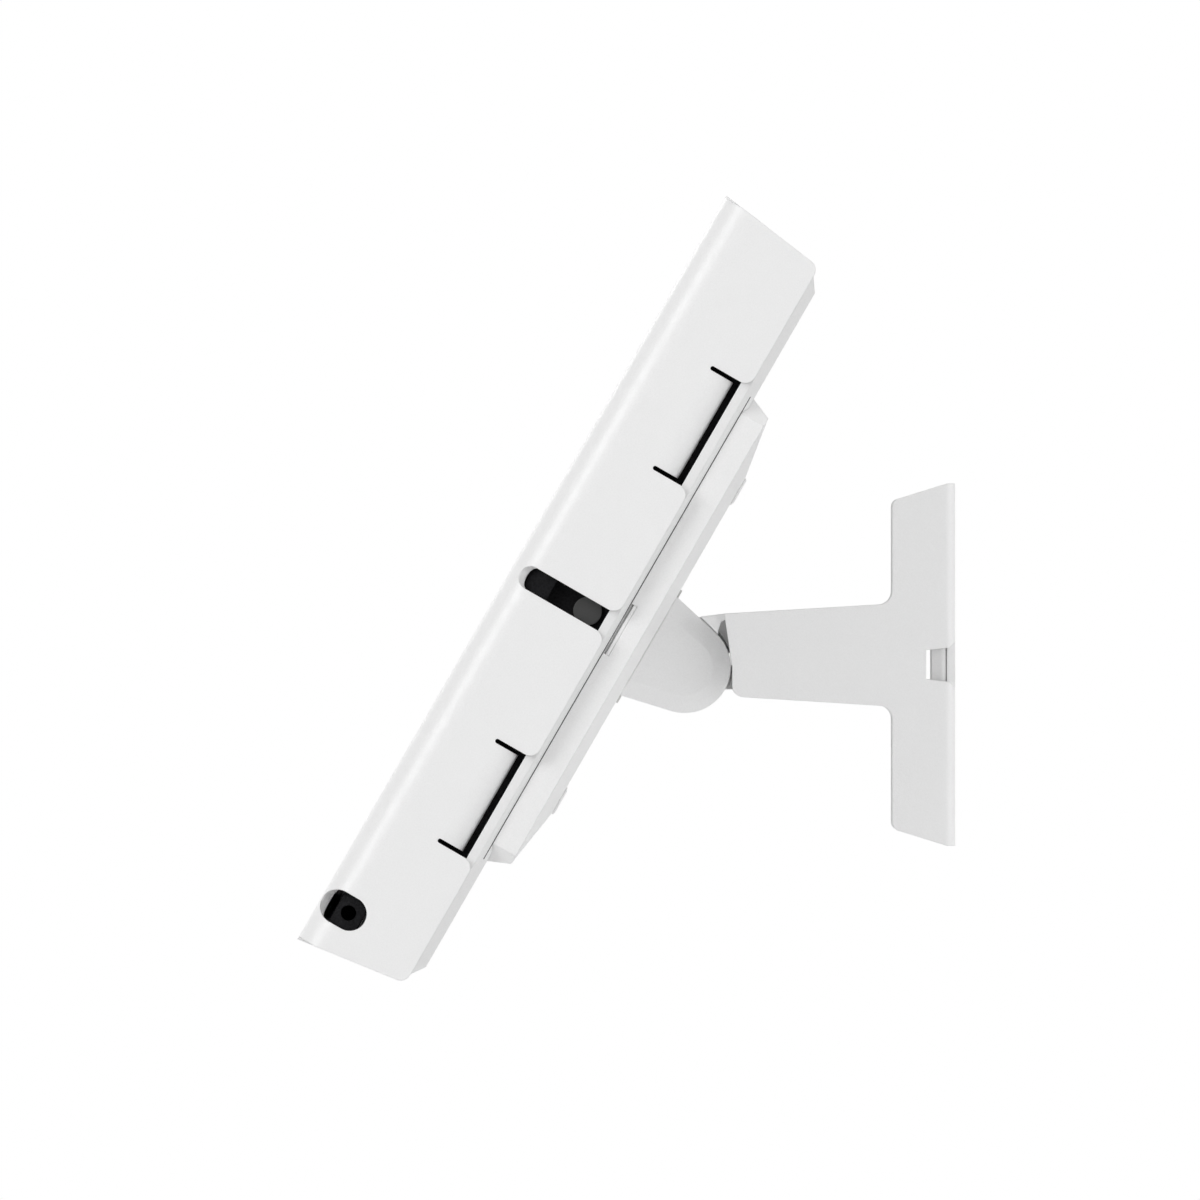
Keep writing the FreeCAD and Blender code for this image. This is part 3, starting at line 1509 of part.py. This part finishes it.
make_wall_bracket()
make_wall_shoe()
make_cable_grommet()
make_pivot_neck()
make_knuckle_fork()
make_knuckle_cap("knuckle_cap_right", 1)
make_knuckle_cap("knuckle_cap_left", -1)
make_friction_washer("friction_washer_right", 1)
make_friction_washer("friction_washer_left", -1)
make_spring_washer("spring_washer_right", 1)
make_spring_washer("spring_washer_left", -1)
make_tilt_bolt()
make_tilt_nut()
make_swivel_disc()
make_swivel_hub()
make_hub_ring(
    "hub_washer",
    S["hub_radius"] + S["running_gap"],
    S["hub_nut_radius"],
    fork_floor + S["fit_gap"],
    S["hub_washer"],
)
make_hub_nut()
frame_body = make_front_frame()
slot_and_tabs(frame_body)
jack_hole(frame_body)
finish_front_frame(frame_body)
make_back_tray()
make_rear_cover()
make_mount_plate()
screw_set(
    "plate_screws",
    plate_screws(),
    plate_face,
    S["plate_sheet"] + S["tray_sheet"],
    S["small_head"],
)
screw_set(
    "cover_screws",
    cover_screws(),
    cover_face,
    cover_face - behind_front(S["tray_back"] - S["tray_sheet"]),
    S["cover_head"],
)
make_corner_blocks()
screw_set(
    "tray_screws",
    tray_screws(),
    behind_front(S["tray_back"]),
    S["tray_sheet"] + S["block_half"],
    S["small_head"],
    sunk=True,
)
make_bay_lining()
make_push_rivets()
export()
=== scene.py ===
"""Looks of the tablet wall mount: finishes, small fittings, light and camera.

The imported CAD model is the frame. All lengths are in metres unless a name says millimetres.
"""

import json
import math

import bmesh
import bpy
from mathutils import Matrix, Vector


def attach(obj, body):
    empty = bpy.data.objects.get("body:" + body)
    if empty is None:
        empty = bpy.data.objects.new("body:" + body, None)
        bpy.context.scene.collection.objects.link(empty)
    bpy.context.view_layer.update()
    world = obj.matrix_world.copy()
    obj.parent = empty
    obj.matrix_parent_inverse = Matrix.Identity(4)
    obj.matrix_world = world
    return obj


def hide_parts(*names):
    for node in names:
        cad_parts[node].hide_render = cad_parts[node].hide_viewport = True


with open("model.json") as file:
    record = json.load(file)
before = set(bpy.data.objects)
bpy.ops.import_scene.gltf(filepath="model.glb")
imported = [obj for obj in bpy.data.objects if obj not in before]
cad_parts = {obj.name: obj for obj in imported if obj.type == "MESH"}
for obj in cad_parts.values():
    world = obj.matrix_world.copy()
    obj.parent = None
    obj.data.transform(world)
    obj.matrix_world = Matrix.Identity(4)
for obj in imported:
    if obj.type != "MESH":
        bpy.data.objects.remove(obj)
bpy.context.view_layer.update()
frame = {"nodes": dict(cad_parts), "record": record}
nodes = frame["nodes"]

MM = 0.001

# --- camera ---------------------------------------------------------------
CAMERA_PLACE = Vector((13.70, -0.08568, 0.0156))
CAMERA_LENS_MM = 1700.0
CAMERA_SENSOR_MM = 36.0

# --- light ----------------------------------------------------------------
AMBIENT_ENDS = 0.22  # from the two ends of the X axis
AMBIENT_ROUND = 0.46  # from everywhere square to it
SOFTBOXES = (
    # name, place, aim, side in metres, power in watts
    ("softbox_side_right", (1.50, -0.10, 1.10), (0.0, -0.08, 0.0), 1.0, 4.0),
    ("softbox_side_left", (-1.45, -0.60, 1.00), (0.0, -0.08, 0.0), 1.0, 10.0),
    ("softbox_front", (1.22, -1.22, 0.68), (0.0, -0.08, 0.0), 0.8, 11.5),
    ("softbox_wall", (1.00, 1.50, -0.20), (0.0, -0.04, 0.0), 1.7, 14.0),
    ("softbox_top", (-0.30, 0.60, 1.80), (0.0, -0.08, 0.0), 1.2, 4.0),
)

# --- floor ----------------------------------------------------------------
FLOOR_BELOW = 0.60
FLOOR_RADIUS = 3.0
FLOOR_GREY = 0.9


# ---------------------------------------------------------------------------
# Materials
# ---------------------------------------------------------------------------
class Finish:
    """A node material with one Principled shader, built up call by call."""

    def __init__(self, name, colour, roughness, metallic=0.0, **sockets):
        self.material = bpy.data.materials.new(name)
        self.material.use_nodes = True
        self.tree = self.material.node_tree
        self.shader = self.tree.nodes["Principled BSDF"]
        self.colour = (*colour, 1.0)
        self.shader.inputs["Base Color"].default_value = self.colour
        self.shader.inputs["Roughness"].default_value = roughness
        self.shader.inputs["Metallic"].default_value = metallic
        for socket, value in sockets.items():
            self.shader.inputs[socket.replace("_", " ")].default_value = value
        self.place = self.tree.nodes.new("ShaderNodeTexCoord").outputs["Object"]
        self.material.diffuse_color = self.colour

    def node(self, kind, **values):
        made = self.tree.nodes.new(kind)
        for name, value in values.items():
            if hasattr(made, name):
                setattr(made, name, value)
            else:
                made.inputs[name.replace("_", " ")].default_value = value
        return made

    def link(self, source, target):
        self.tree.links.new(source, target)

    def noise(self, scale, detail, stretch=(1.0, 1.0, 1.0)):
        """Noise of `scale` features a metre, stretched along an axis by a share below 1."""
        mapping = self.node("ShaderNodeMapping")
        mapping.inputs["Scale"].default_value = stretch
        self.link(self.place, mapping.inputs["Vector"])
        noise = self.node("ShaderNodeTexNoise", Scale=scale, Detail=detail, Roughness=0.5)
        self.link(mapping.outputs["Vector"], noise.inputs["Vector"])
        return noise.outputs["Fac"]

    def spread(self, fac, low, high, from_low=0.3, from_high=0.7):
        """A factor mapped from from_low..from_high to low..high."""
        mapped = self.node("ShaderNodeMapRange")
        names = ("From Min", "From Max", "To Min", "To Max")
        for name, value in zip(names, (from_low, from_high, low, high)):
            mapped.inputs[name].default_value = value
        self.link(fac, mapped.inputs["Value"])
        return mapped.outputs["Result"]

    def shade(self, fac, dark, light):
        """Colour between two shares of the base colour."""
        mix = self.node("ShaderNodeMix", data_type="RGBA")
        ends = [socket for socket in mix.inputs if socket.type == "RGBA"]
        for socket, share in zip(ends, (dark, light)):
            socket.default_value = (*(min(c * share, 1.0) for c in self.colour[:3]), 1.0)
        self.link(fac, mix.inputs["Factor"])
        colour = next(socket for socket in mix.outputs if socket.type == "RGBA")
        self.link(colour, self.shader.inputs["Base Color"])

    def gloss(self, fac, low, high):
        """Roughness between two values."""
        self.link(self.spread(fac, low, high), self.shader.inputs["Roughness"])

    def bumps(self, *layers, edge):
        """Bump layers of (factor, height in metres) over edges softened by `edge` metres."""
        normal = self.node("ShaderNodeBevel", samples=6, Radius=edge).outputs["Normal"]
        for fac, height in layers:
            bump = self.node("ShaderNodeBump", Strength=1.0, Distance=height)
            self.link(fac, bump.inputs["Height"])
            self.link(normal, bump.inputs["Normal"])
            normal = bump.outputs["Normal"]
        self.link(normal, self.shader.inputs["Normal"])


def powder_coat(name, colour):
    """Fine-grained satin powder coat on sheet steel."""
    finish = Finish(name, colour, 0.36, Specular_IOR_Level=0.5)
    grain = finish.noise(2600.0, detail=2.0)
    peel = finish.noise(420.0, detail=1.0)
    finish.shade(finish.spread(grain, 0.0, 1.0, 0.25, 0.75), 0.965, 1.012)
    finish.gloss(peel, 0.32, 0.40)
    finish.bumps((peel, 0.00006), (grain, 0.00003), edge=0.35 * MM)
    return finish.material


def moulded(name, colour, grain_size=3200.0, roughness=0.42):
    """Moulded plastic with a fine spark grain."""
    finish = Finish(name, colour, roughness, Specular_IOR_Level=0.45)
    grain = finish.noise(grain_size, detail=2.0)
    cloud = finish.noise(60.0, detail=2.0)
    finish.shade(finish.spread(cloud, 0.0, 1.0), 0.975, 1.01)
    finish.gloss(grain, roughness - 0.06, roughness + 0.08)
    finish.bumps((grain, 0.00002), edge=0.3 * MM)
    return finish.material


def zinc(name, colour):
    """Zinc-plated steel with faint drawn lines and dull patches."""
    finish = Finish(name, colour, 0.32, metallic=1.0)
    lines = finish.noise(900.0, detail=4.0, stretch=(0.08, 1.0, 1.0))
    cloud = finish.noise(120.0, detail=3.0)
    finish.shade(finish.spread(cloud, 0.0, 1.0), 0.86, 1.06)
    finish.gloss(cloud, 0.24, 0.42)
    finish.bumps((lines, 0.00002), edge=0.25 * MM)
    return finish.material


def foam(name, colour):
    """Closed-cell foam: small round cells cut open at the surface."""
    finish = Finish(name, colour, 0.90, Specular_IOR_Level=0.12)
    cells = finish.node("ShaderNodeTexVoronoi", Scale=1500.0)
    finish.link(finish.place, cells.inputs["Vector"])
    cloud = finish.noise(300.0, detail=3.0)
    # The cells are darker in the hollows that the bumps make and lighter on their rims: painted
    # shade and painted highlight.
    finish.shade(finish.spread(cells.outputs["Distance"], 0.0, 1.0, 0.1, 0.7), 0.75, 1.35)
    finish.gloss(cloud, 0.78, 0.92)
    finish.bumps((cells.outputs["Distance"], 0.00012), (cloud, 0.0001), edge=0.4 * MM)
    return finish.material


MATERIALS = {
    "white_coat": powder_coat("white_coat", (0.87, 0.87, 0.87)),
    "white_plastic": moulded("white_plastic", (0.86, 0.86, 0.86)),
    "white_screw": powder_coat("white_screw", (0.85, 0.85, 0.85)),
    "nylon": moulded("nylon", (0.72, 0.72, 0.70), roughness=0.5),
    "zinc_steel": zinc("zinc_steel", (0.62, 0.62, 0.63)),
    "black_rubber": moulded("black_rubber", (0.03, 0.03, 0.03), 2400.0, 0.62),
    "black_foam": foam("black_foam", (0.009, 0.009, 0.010)),
    "light_foam": foam("light_foam", (0.60, 0.60, 0.60)),
    "black_plastic": moulded("black_plastic", (0.05, 0.05, 0.05)),
}

# Pieces whose finish differs from the rest of their slot. The bracket, the knuckle shells and
# the neck cheeks wear a lighter copy of the white coat as painted light, for the shade they lie
# in.
PAINTED_LIGHT_COAT = powder_coat("bracket_painted_light_coat", (0.95, 0.95, 0.95))
OWN_MATERIALS = {
    "wall_bracket": PAINTED_LIGHT_COAT,
    # Darker copy of the white coat on the wall shoe: painted shade for the shoe inside the
    # bracket.
    "wall_shoe": powder_coat("shoe_painted_shade_coat", (0.74, 0.74, 0.74)),
    # Darker copy of the white coat on the back tray: painted shade for its walls deep inside the
    # side slots.
    "back_tray": powder_coat("tray_painted_shade_coat", (0.83, 0.83, 0.83)),
    "knuckle_shell_right": PAINTED_LIGHT_COAT,
    "knuckle_shell_left": PAINTED_LIGHT_COAT,
    "neck_cheeks": PAINTED_LIGHT_COAT,
    # Grey lips in the neck gaps: painted shade, a grey stand-in for the shaded inner faces
    # there.
    "neck_painted_shade_lips": moulded("painted_shade_grey_rubber", (0.42, 0.42, 0.42), 2400.0, 0.62),
}

SLOTS = {row["node"]: row["material_slot"] for row in frame["record"]["subparts"]}


def finish_of(name, slot):
    return OWN_MATERIALS.get(name, MATERIALS[slot])


for name, slot in SLOTS.items():
    nodes[name].data.materials.clear()
    nodes[name].data.materials.append(finish_of(name, slot))


# ---------------------------------------------------------------------------
# Pieces that show more than the solids, in millimetres unless they say otherwise
# ---------------------------------------------------------------------------
AXIS = Vector(frame["record"]["behaviour"]["joints"][0]["pos_m"])  # tilt axis, in metres
LEAN = math.radians(30)  # the head leans back at rest
BACK = Vector((0, math.cos(LEAN), -math.sin(LEAN)))
UP = Vector((0, math.sin(LEAN), math.cos(LEAN)))


def leaning(across, back, up):
    """A place on the leaning head: across it, behind the tilt axis, and up along it."""
    return AXIS + Vector((across, 0, 0)) * MM + (BACK * back + UP * up) * MM


def add_piece(name, mesh, body, slot, replaced=()):
    """Put a mesh in the scene as a piece that rides on a body."""
    piece = bpy.data.objects.new(name, mesh)
    bpy.context.scene.collection.objects.link(piece)
    mesh.materials.append(finish_of(name, slot))
    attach(piece, body)
    if replaced:
        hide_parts(*replaced)
    return piece


def mesh_of(name, corners, faces):
    """A closed mesh with its faces turned outwards."""
    mesh = bpy.data.meshes.new(name)
    mesh.from_pydata([tuple(corner) for corner in corners], [], faces)
    solid = bmesh.new()
    solid.from_mesh(mesh)
    bmesh.ops.recalc_face_normals(solid, faces=solid.faces)
    solid.to_mesh(mesh)
    solid.free()
    return mesh


def bevel(piece, width):
    """Round a piece's edges."""
    rounding = piece.modifiers.new("edges", "BEVEL")
    rounding.width = width * MM
    rounding.segments = 2
    rounding.limit_method = "ANGLE"
    rounding.angle_limit = math.radians(25)


def ring_faces(start, count):
    """The faces between a ring of `count` corners, the first at `start`, and the next ring."""
    faces = []
    for index in range(count):
        after = (index + 1) % count
        low, high = start, start + count
        faces.append((low + index, low + after, high + after, high + index))
    return faces


# --- knuckle shells ---------------------------------------------------------
KNUCKLE_RADIUS = 11.1
KNUCKLE_DRAFT = math.radians(13)
KNUCKLE_STEPS = 40
SHELL_FOOT = 10.2  # in front of the tilt axis
SHELL_INSIDE = 17.3  # from the middle, as the next two
SHELL_SHOULDER = 22.0
SHELL_OUTSIDE = 23.3
SHELL_BEVEL = 4.3
SHELL_WALL = 1.4
SHELL_ROUNDING = 0.25


def knuckle_profile(inset):
    """(back, up) points of the knuckle outline: foot, flank, round end, flank, foot."""
    radius = KNUCKLE_RADIUS - inset
    foot_up = (radius + SHELL_FOOT * math.sin(KNUCKLE_DRAFT)) / math.cos(KNUCKLE_DRAFT)
    points = [(-SHELL_FOOT, -foot_up)]
    reach = math.pi / 2 - KNUCKLE_DRAFT
    for step in range(KNUCKLE_STEPS + 1):
        turn = -reach + 2 * reach * step / KNUCKLE_STEPS
        points.append((radius * math.cos(turn), radius * math.sin(turn)))
    points.append((-SHELL_FOOT, foot_up))
    return points


def make_knuckle_shell(name, hand, node):
    """Moulded half shell over the knuckle: open inside, bevelled along its free edge only."""
    levels = ((SHELL_INSIDE, 0), (SHELL_SHOULDER, 0), (SHELL_OUTSIDE, SHELL_BEVEL))
    corners = [
        leaning(hand * across, *point)
        for across, inset in levels
        for point in knuckle_profile(inset)
    ]
    count = len(corners) // len(levels)
    faces = ring_faces(0, count) + ring_faces(count, count)
    faces.append(tuple(range(2 * count, 3 * count)))
    piece = add_piece(name, mesh_of(name, corners, faces), "knuckle", SLOTS[node], [node])
    wall = piece.modifiers.new("wall", "SOLIDIFY")
    wall.thickness = SHELL_WALL * MM
    wall.offset = -1
    wall.use_even_offset = True
    bevel(piece, SHELL_ROUNDING)


# --- screws -----------------------------------------------------------------
SCREW_STEPS = 40
SCREW_RADIUS = 1.45
SCREW_ROUNDING = 0.12
RECESS_WIDTH = 0.85
RECESS_REACH = 1.75
RECESS_CORNERS = 12
FIRST_SPIN, NEXT_SPIN = 0.4, 1.1  # each screw stops at another turn, in radians
THREAD_PITCH = 0.7
THREAD_DEPTH = 0.25

COVER_SCREWS_ACROSS = 112.0
COVER_SCREWS_UP = 43.0
COVER_SCREWS_BACK = -10.3
COVER_SCREW_HEAD = [(3.1, 0.6), (3.4, 0.3), (3.4, 0.0), (SCREW_RADIUS, 0.0)]
COVER_SCREW_THREAD = (-1.0, -9.0)
COVER_SCREW_RECESS = 0.45

TRAY_SCREWS_ACROSS = 122.0
TRAY_SCREWS_UP = 80.0
TRAY_SCREWS_BACK = -18.0
TRAY_SCREW_HEAD = [(2.55, 0.0), (SCREW_RADIUS, -1.1)]
TRAY_SCREW_THREAD = (-1.6, -6.0)
TRAY_SCREW_RECESS = 0.8


def recess_outline(width, reach):
    """Corners of a cross, as (x, y)."""
    corners = []
    for quarter in range(4):
        turn = Matrix.Rotation(quarter * math.pi / 2, 2)
        for point in ((reach, -width / 2), (reach, width / 2), (width / 2, width / 2)):
            corners.append(turn @ Vector(point))
    return corners


def screw_shape(rings, recess):
    """Bmesh of a screw that points down, with a cross recess in its head.

    `rings` holds (radius, height) from the rim of the head to the tip.
    """
    corners, faces = [], []
    for radius, height in rings:
        for step in range(SCREW_STEPS):
            turn = 2 * math.pi * step / SCREW_STEPS
            corners.append(Vector((radius * math.cos(turn), radius * math.sin(turn), height)))
    mouth = len(corners)
    for start in range(0, mouth - SCREW_STEPS, SCREW_STEPS):
        faces += ring_faces(start, SCREW_STEPS)
    faces.append(tuple(range(mouth - SCREW_STEPS, mouth)))
    top = rings[0][1]
    for share, height in ((1.0, top), (0.55, top - recess)):
        for corner in recess_outline(RECESS_WIDTH * (0.4 + 0.6 * share), RECESS_REACH * share):
            corners.append(Vector((*corner, height)))
    floor = mouth + RECESS_CORNERS
    faces += ring_faces(mouth, RECESS_CORNERS)
    faces.append(tuple(range(floor, floor + RECESS_CORNERS)))
    screw = bmesh.new()
    made = [screw.verts.new(corner) for corner in corners]
    for face in faces:
        screw.faces.new([made[index] for index in face])
    open_edges = []
    for start, count in ((0, SCREW_STEPS), (mouth, RECESS_CORNERS)):
        loop = made[start : start + count]
        open_edges += [screw.edges.get((loop[i - 1], loop[i])) for i in range(count)]
    bmesh.ops.triangle_fill(screw, edges=open_edges, use_beauty=True)
    bmesh.ops.recalc_face_normals(screw, faces=screw.faces)
    return screw


def make_screws(name, node, places, seat, rings, recess):
    """All screws of one kind as one piece; each stands at (across, up) on the seat."""
    one = screw_shape(rings, recess)
    template = bpy.data.meshes.new(name + "_one")
    one.to_mesh(template)
    one.free()
    whole = bmesh.new()
    facing = Matrix((Vector((1, 0, 0)), -UP, BACK)).transposed().to_4x4() @ Matrix.Scale(MM, 4)
    for number, (across, up) in enumerate(places):
        spin = Matrix.Rotation(FIRST_SPIN + NEXT_SPIN * number, 4, "Z")
        stand = Matrix.Translation(leaning(across, seat, up)) @ facing @ spin
        copy = template.copy()
        copy.transform(stand)
        whole.from_mesh(copy)
        bpy.data.meshes.remove(copy)
    mesh = bpy.data.meshes.new(name)
    whole.to_mesh(mesh)
    whole.free()
    bpy.data.meshes.remove(template)
    bevel(add_piece(name, mesh, "head", SLOTS[node], [node]), SCREW_ROUNDING)


def thread(top, tip):
    """Rings of a cut thread from `top` down to `tip`."""
    root = SCREW_RADIUS - THREAD_DEPTH
    rings = []
    height = top
    while height - THREAD_PITCH > tip + 1.0:
        rings.append((SCREW_RADIUS, height))
        rings.append((SCREW_RADIUS, height - THREAD_PITCH * 0.25))
        rings.append((root, height - THREAD_PITCH * 0.6))
        height -= THREAD_PITCH
    return rings + [(root, height), (root - THREAD_DEPTH, tip)]


def four(across, up):
    """Four places, mirrored left and right and up and down."""
    return [(one * across, two * up) for one in (-1, 1) for two in (-1, 1)]


# --- lips of painted shade, and cheeks of the neck ----------------------------
SHADE_LIP_ACROSS = (14.0, 19.0)
SHADE_LIP_ROUNDING = 0.2
# Outlines seen from the side: (y, z) from the wall and the middle of the wall plate.
SHADE_LIP_UPPER = [
    (-52.0, 3.0), (-54.3, 3.0), (-55.05, 4.8), (-56.2, 6.7),
    (-57.5, 8.6), (-56.5, 10.4), (-55.85, 12.0), (-52.0, 12.0),
]
SHADE_LIP_LOWER = [
    (-52.0, -1.2), (-53.6, -1.2), (-53.95, -3.0), (-54.4, -4.5), (-55.0, -5.9), (-52.0, -5.9),
]
CHEEK_ACROSS = (26.6, 29.9)
CHEEK_ROUNDING = 0.25
CHEEK = [
    (-61.4, 11.6), (-56.0, 12.25), (-52.0, 12.15), (-52.0, 10.8), (-55.6, 10.8),
    (-56.5, 10.2), (-57.2, 8.0), (-57.15, 7.35), (-57.6, 7.75),
]


def make_neck_prisms(name, outlines, across, slot, rounding):
    """Each outline as a prism on the left and on the right of the neck, all as one piece."""
    corners, faces = [], []
    for hand in (-1, 1):
        for outline in outlines:
            start, count = len(corners), len(outline)
            corners += [Vector((hand * x, y, z)) * MM for x in across for y, z in outline]
            faces += ring_faces(start, count)
            faces.append(tuple(range(start, start + count)))
            faces.append(tuple(range(start + count, start + 2 * count)))
    bevel(add_piece(name, mesh_of(name, corners, faces), "bracket", slot), rounding)


# --- sills and gasket of the cover ----------------------------------------------
SILL_ACROSS = (134.4, 135.85)
SILL_BACK = (-18.2, -17.3)
SILL_UP = (-6.8, 6.8)
SILL_ROUNDING = 0.15
GASKET_ACROSS = (135.0, 135.7)
GASKET_BACK = (-19.3, -18.86)
GASKET_UP = (-63.9, 63.9)
GASKET_ROUNDING = 0.08


def make_head_strips(name, across, back, up, slot, rounding):
    """A box on the left and one on the right of the head as one piece, from low to high."""
    corners, faces = [], []
    for hand in (-1, 1):
        start = len(corners)
        for x in across:
            for y, z in ((0, 0), (0, 1), (1, 1), (1, 0)):
                corners.append(leaning(hand * x, back[y], up[z]))
        faces += ring_faces(start, 4)
        faces.append(tuple(range(start, start + 4)))
        faces.append(tuple(range(start + 4, start + 8)))
    bevel(add_piece(name, mesh_of(name, corners, faces), "head", slot), rounding)


make_knuckle_shell("knuckle_shell_right", 1, "knuckle_cap_right")
make_knuckle_shell("knuckle_shell_left", -1, "knuckle_cap_left")
make_screws(
    "cover_screw_set",
    "cover_screws",
    four(COVER_SCREWS_ACROSS, COVER_SCREWS_UP),
    COVER_SCREWS_BACK,
    COVER_SCREW_HEAD + thread(*COVER_SCREW_THREAD),
    COVER_SCREW_RECESS,
)
make_screws(
    "tray_screw_set",
    "tray_screws",
    four(TRAY_SCREWS_ACROSS, TRAY_SCREWS_UP),
    TRAY_SCREWS_BACK,
    TRAY_SCREW_HEAD + thread(*TRAY_SCREW_THREAD),
    TRAY_SCREW_RECESS,
)
# Grey lips in the gaps between the neck and the arms as painted shade, and lugs beside the
# knuckle.
make_neck_prisms("neck_painted_shade_lips", (SHADE_LIP_UPPER, SHADE_LIP_LOWER), SHADE_LIP_ACROSS, "black_rubber", SHADE_LIP_ROUNDING)
make_neck_prisms("neck_cheeks", (CHEEK,), CHEEK_ACROSS, "white_coat", CHEEK_ROUNDING)
# Sills that close the back half of the cable notches, and strips in the groove of the cover.
make_head_strips("port_sills", SILL_ACROSS, SILL_BACK, SILL_UP, "white_coat", SILL_ROUNDING)
make_head_strips(
    "cover_gasket", GASKET_ACROSS, GASKET_BACK, GASKET_UP, "black_rubber", GASKET_ROUNDING
)


# ---------------------------------------------------------------------------
# Floor, light and camera
# ---------------------------------------------------------------------------
def white_to_camera(tree, lit, white, out):
    """Camera, mirror and glass rays see plain white in place of `lit`."""
    path = tree.nodes.new("ShaderNodeLightPath")
    seen = path.outputs["Is Camera Ray"]
    for kind in ("Is Glossy Ray", "Is Transmission Ray"):
        either = tree.nodes.new("ShaderNodeMath")
        either.operation = "MAXIMUM"
        tree.links.new(seen, either.inputs[0])
        tree.links.new(path.outputs[kind], either.inputs[1])
        seen = either.outputs[0]
    mix = tree.nodes.new("ShaderNodeMixShader")
    tree.links.new(seen, mix.inputs[0])
    tree.links.new(lit, mix.inputs[1])
    tree.links.new(white, mix.inputs[2])
    tree.links.new(mix.outputs[0], out)


def make_world():
    """Even light that is weaker from the two ends of the X axis, before a white background."""
    world = bpy.data.worlds.new("studio")
    bpy.context.scene.world = world
    world.use_nodes = True
    tree = world.node_tree
    ambient = tree.nodes["Background"]
    ambient.inputs["Color"].default_value = (1.0, 1.0, 1.0, 1.0)
    place = tree.nodes.new("ShaderNodeTexCoord")
    split = tree.nodes.new("ShaderNodeSeparateXYZ")
    tree.links.new(place.outputs["Generated"], split.inputs[0])
    square = tree.nodes.new("ShaderNodeMath")
    square.operation = "MULTIPLY"
    tree.links.new(split.outputs["X"], square.inputs[0])
    tree.links.new(split.outputs["X"], square.inputs[1])
    level = tree.nodes.new("ShaderNodeMapRange")
    level.inputs["To Min"].default_value = AMBIENT_ROUND
    level.inputs["To Max"].default_value = AMBIENT_ENDS
    tree.links.new(square.outputs[0], level.inputs["Value"])
    tree.links.new(level.outputs["Result"], ambient.inputs["Strength"])
    white = tree.nodes.new("ShaderNodeBackground")
    white.inputs["Color"].default_value = (1.0, 1.0, 1.0, 1.0)
    white.inputs["Strength"].default_value = 1.0
    white_to_camera(
        tree,
        ambient.outputs[0],
        white.outputs[0],
        tree.nodes["World Output"].inputs["Surface"],
    )


def make_softboxes():
    """Square lamps, each turned towards its aim."""
    for name, place, aim, side, power in SOFTBOXES:
        lamp = bpy.data.lights.new(name, "AREA")
        lamp.shape = "SQUARE"
        lamp.size = side
        lamp.energy = power
        box = bpy.data.objects.new(name, lamp)
        box.location = place
        box.rotation_euler = (Vector(aim) - box.location).to_track_quat("-Z", "Y").to_euler()
        bpy.context.scene.collection.objects.link(box)


def make_floor():
    """A pale floor far below the wall, which keeps a faint shadow."""
    bpy.ops.mesh.primitive_circle_add(
        vertices=96, radius=FLOOR_RADIUS, fill_type="NGON", location=(0, 0, -FLOOR_BELOW)
    )
    floor = bpy.context.object
    floor.name = "floor"
    material = bpy.data.materials.new("floor")
    material.use_nodes = True
    shader = material.node_tree.nodes["Principled BSDF"]
    shader.inputs["Base Color"].default_value = (FLOOR_GREY, FLOOR_GREY, FLOOR_GREY, 1.0)
    shader.inputs["Roughness"].default_value = 0.9
    floor.data.materials.append(material)


def make_camera():
    """The photo's view: level, along the wall, from the tablet's right side."""
    lens = bpy.data.cameras.new("photo_camera")
    lens.lens = CAMERA_LENS_MM
    lens.sensor_width = CAMERA_SENSOR_MM
    lens.sensor_fit = "HORIZONTAL"
    lens.clip_start = 0.05
    lens.clip_end = 100.0
    camera = bpy.data.objects.new("photo_camera", lens)
    camera.location = CAMERA_PLACE
    camera.rotation_euler = Vector((-1, 0, 0)).to_track_quat("-Z", "Y").to_euler()
    bpy.context.scene.collection.objects.link(camera)
    bpy.context.scene.camera = camera


make_world()
make_softboxes()
make_floor()
make_camera()
bpy.context.scene.view_settings.view_transform = "Standard"
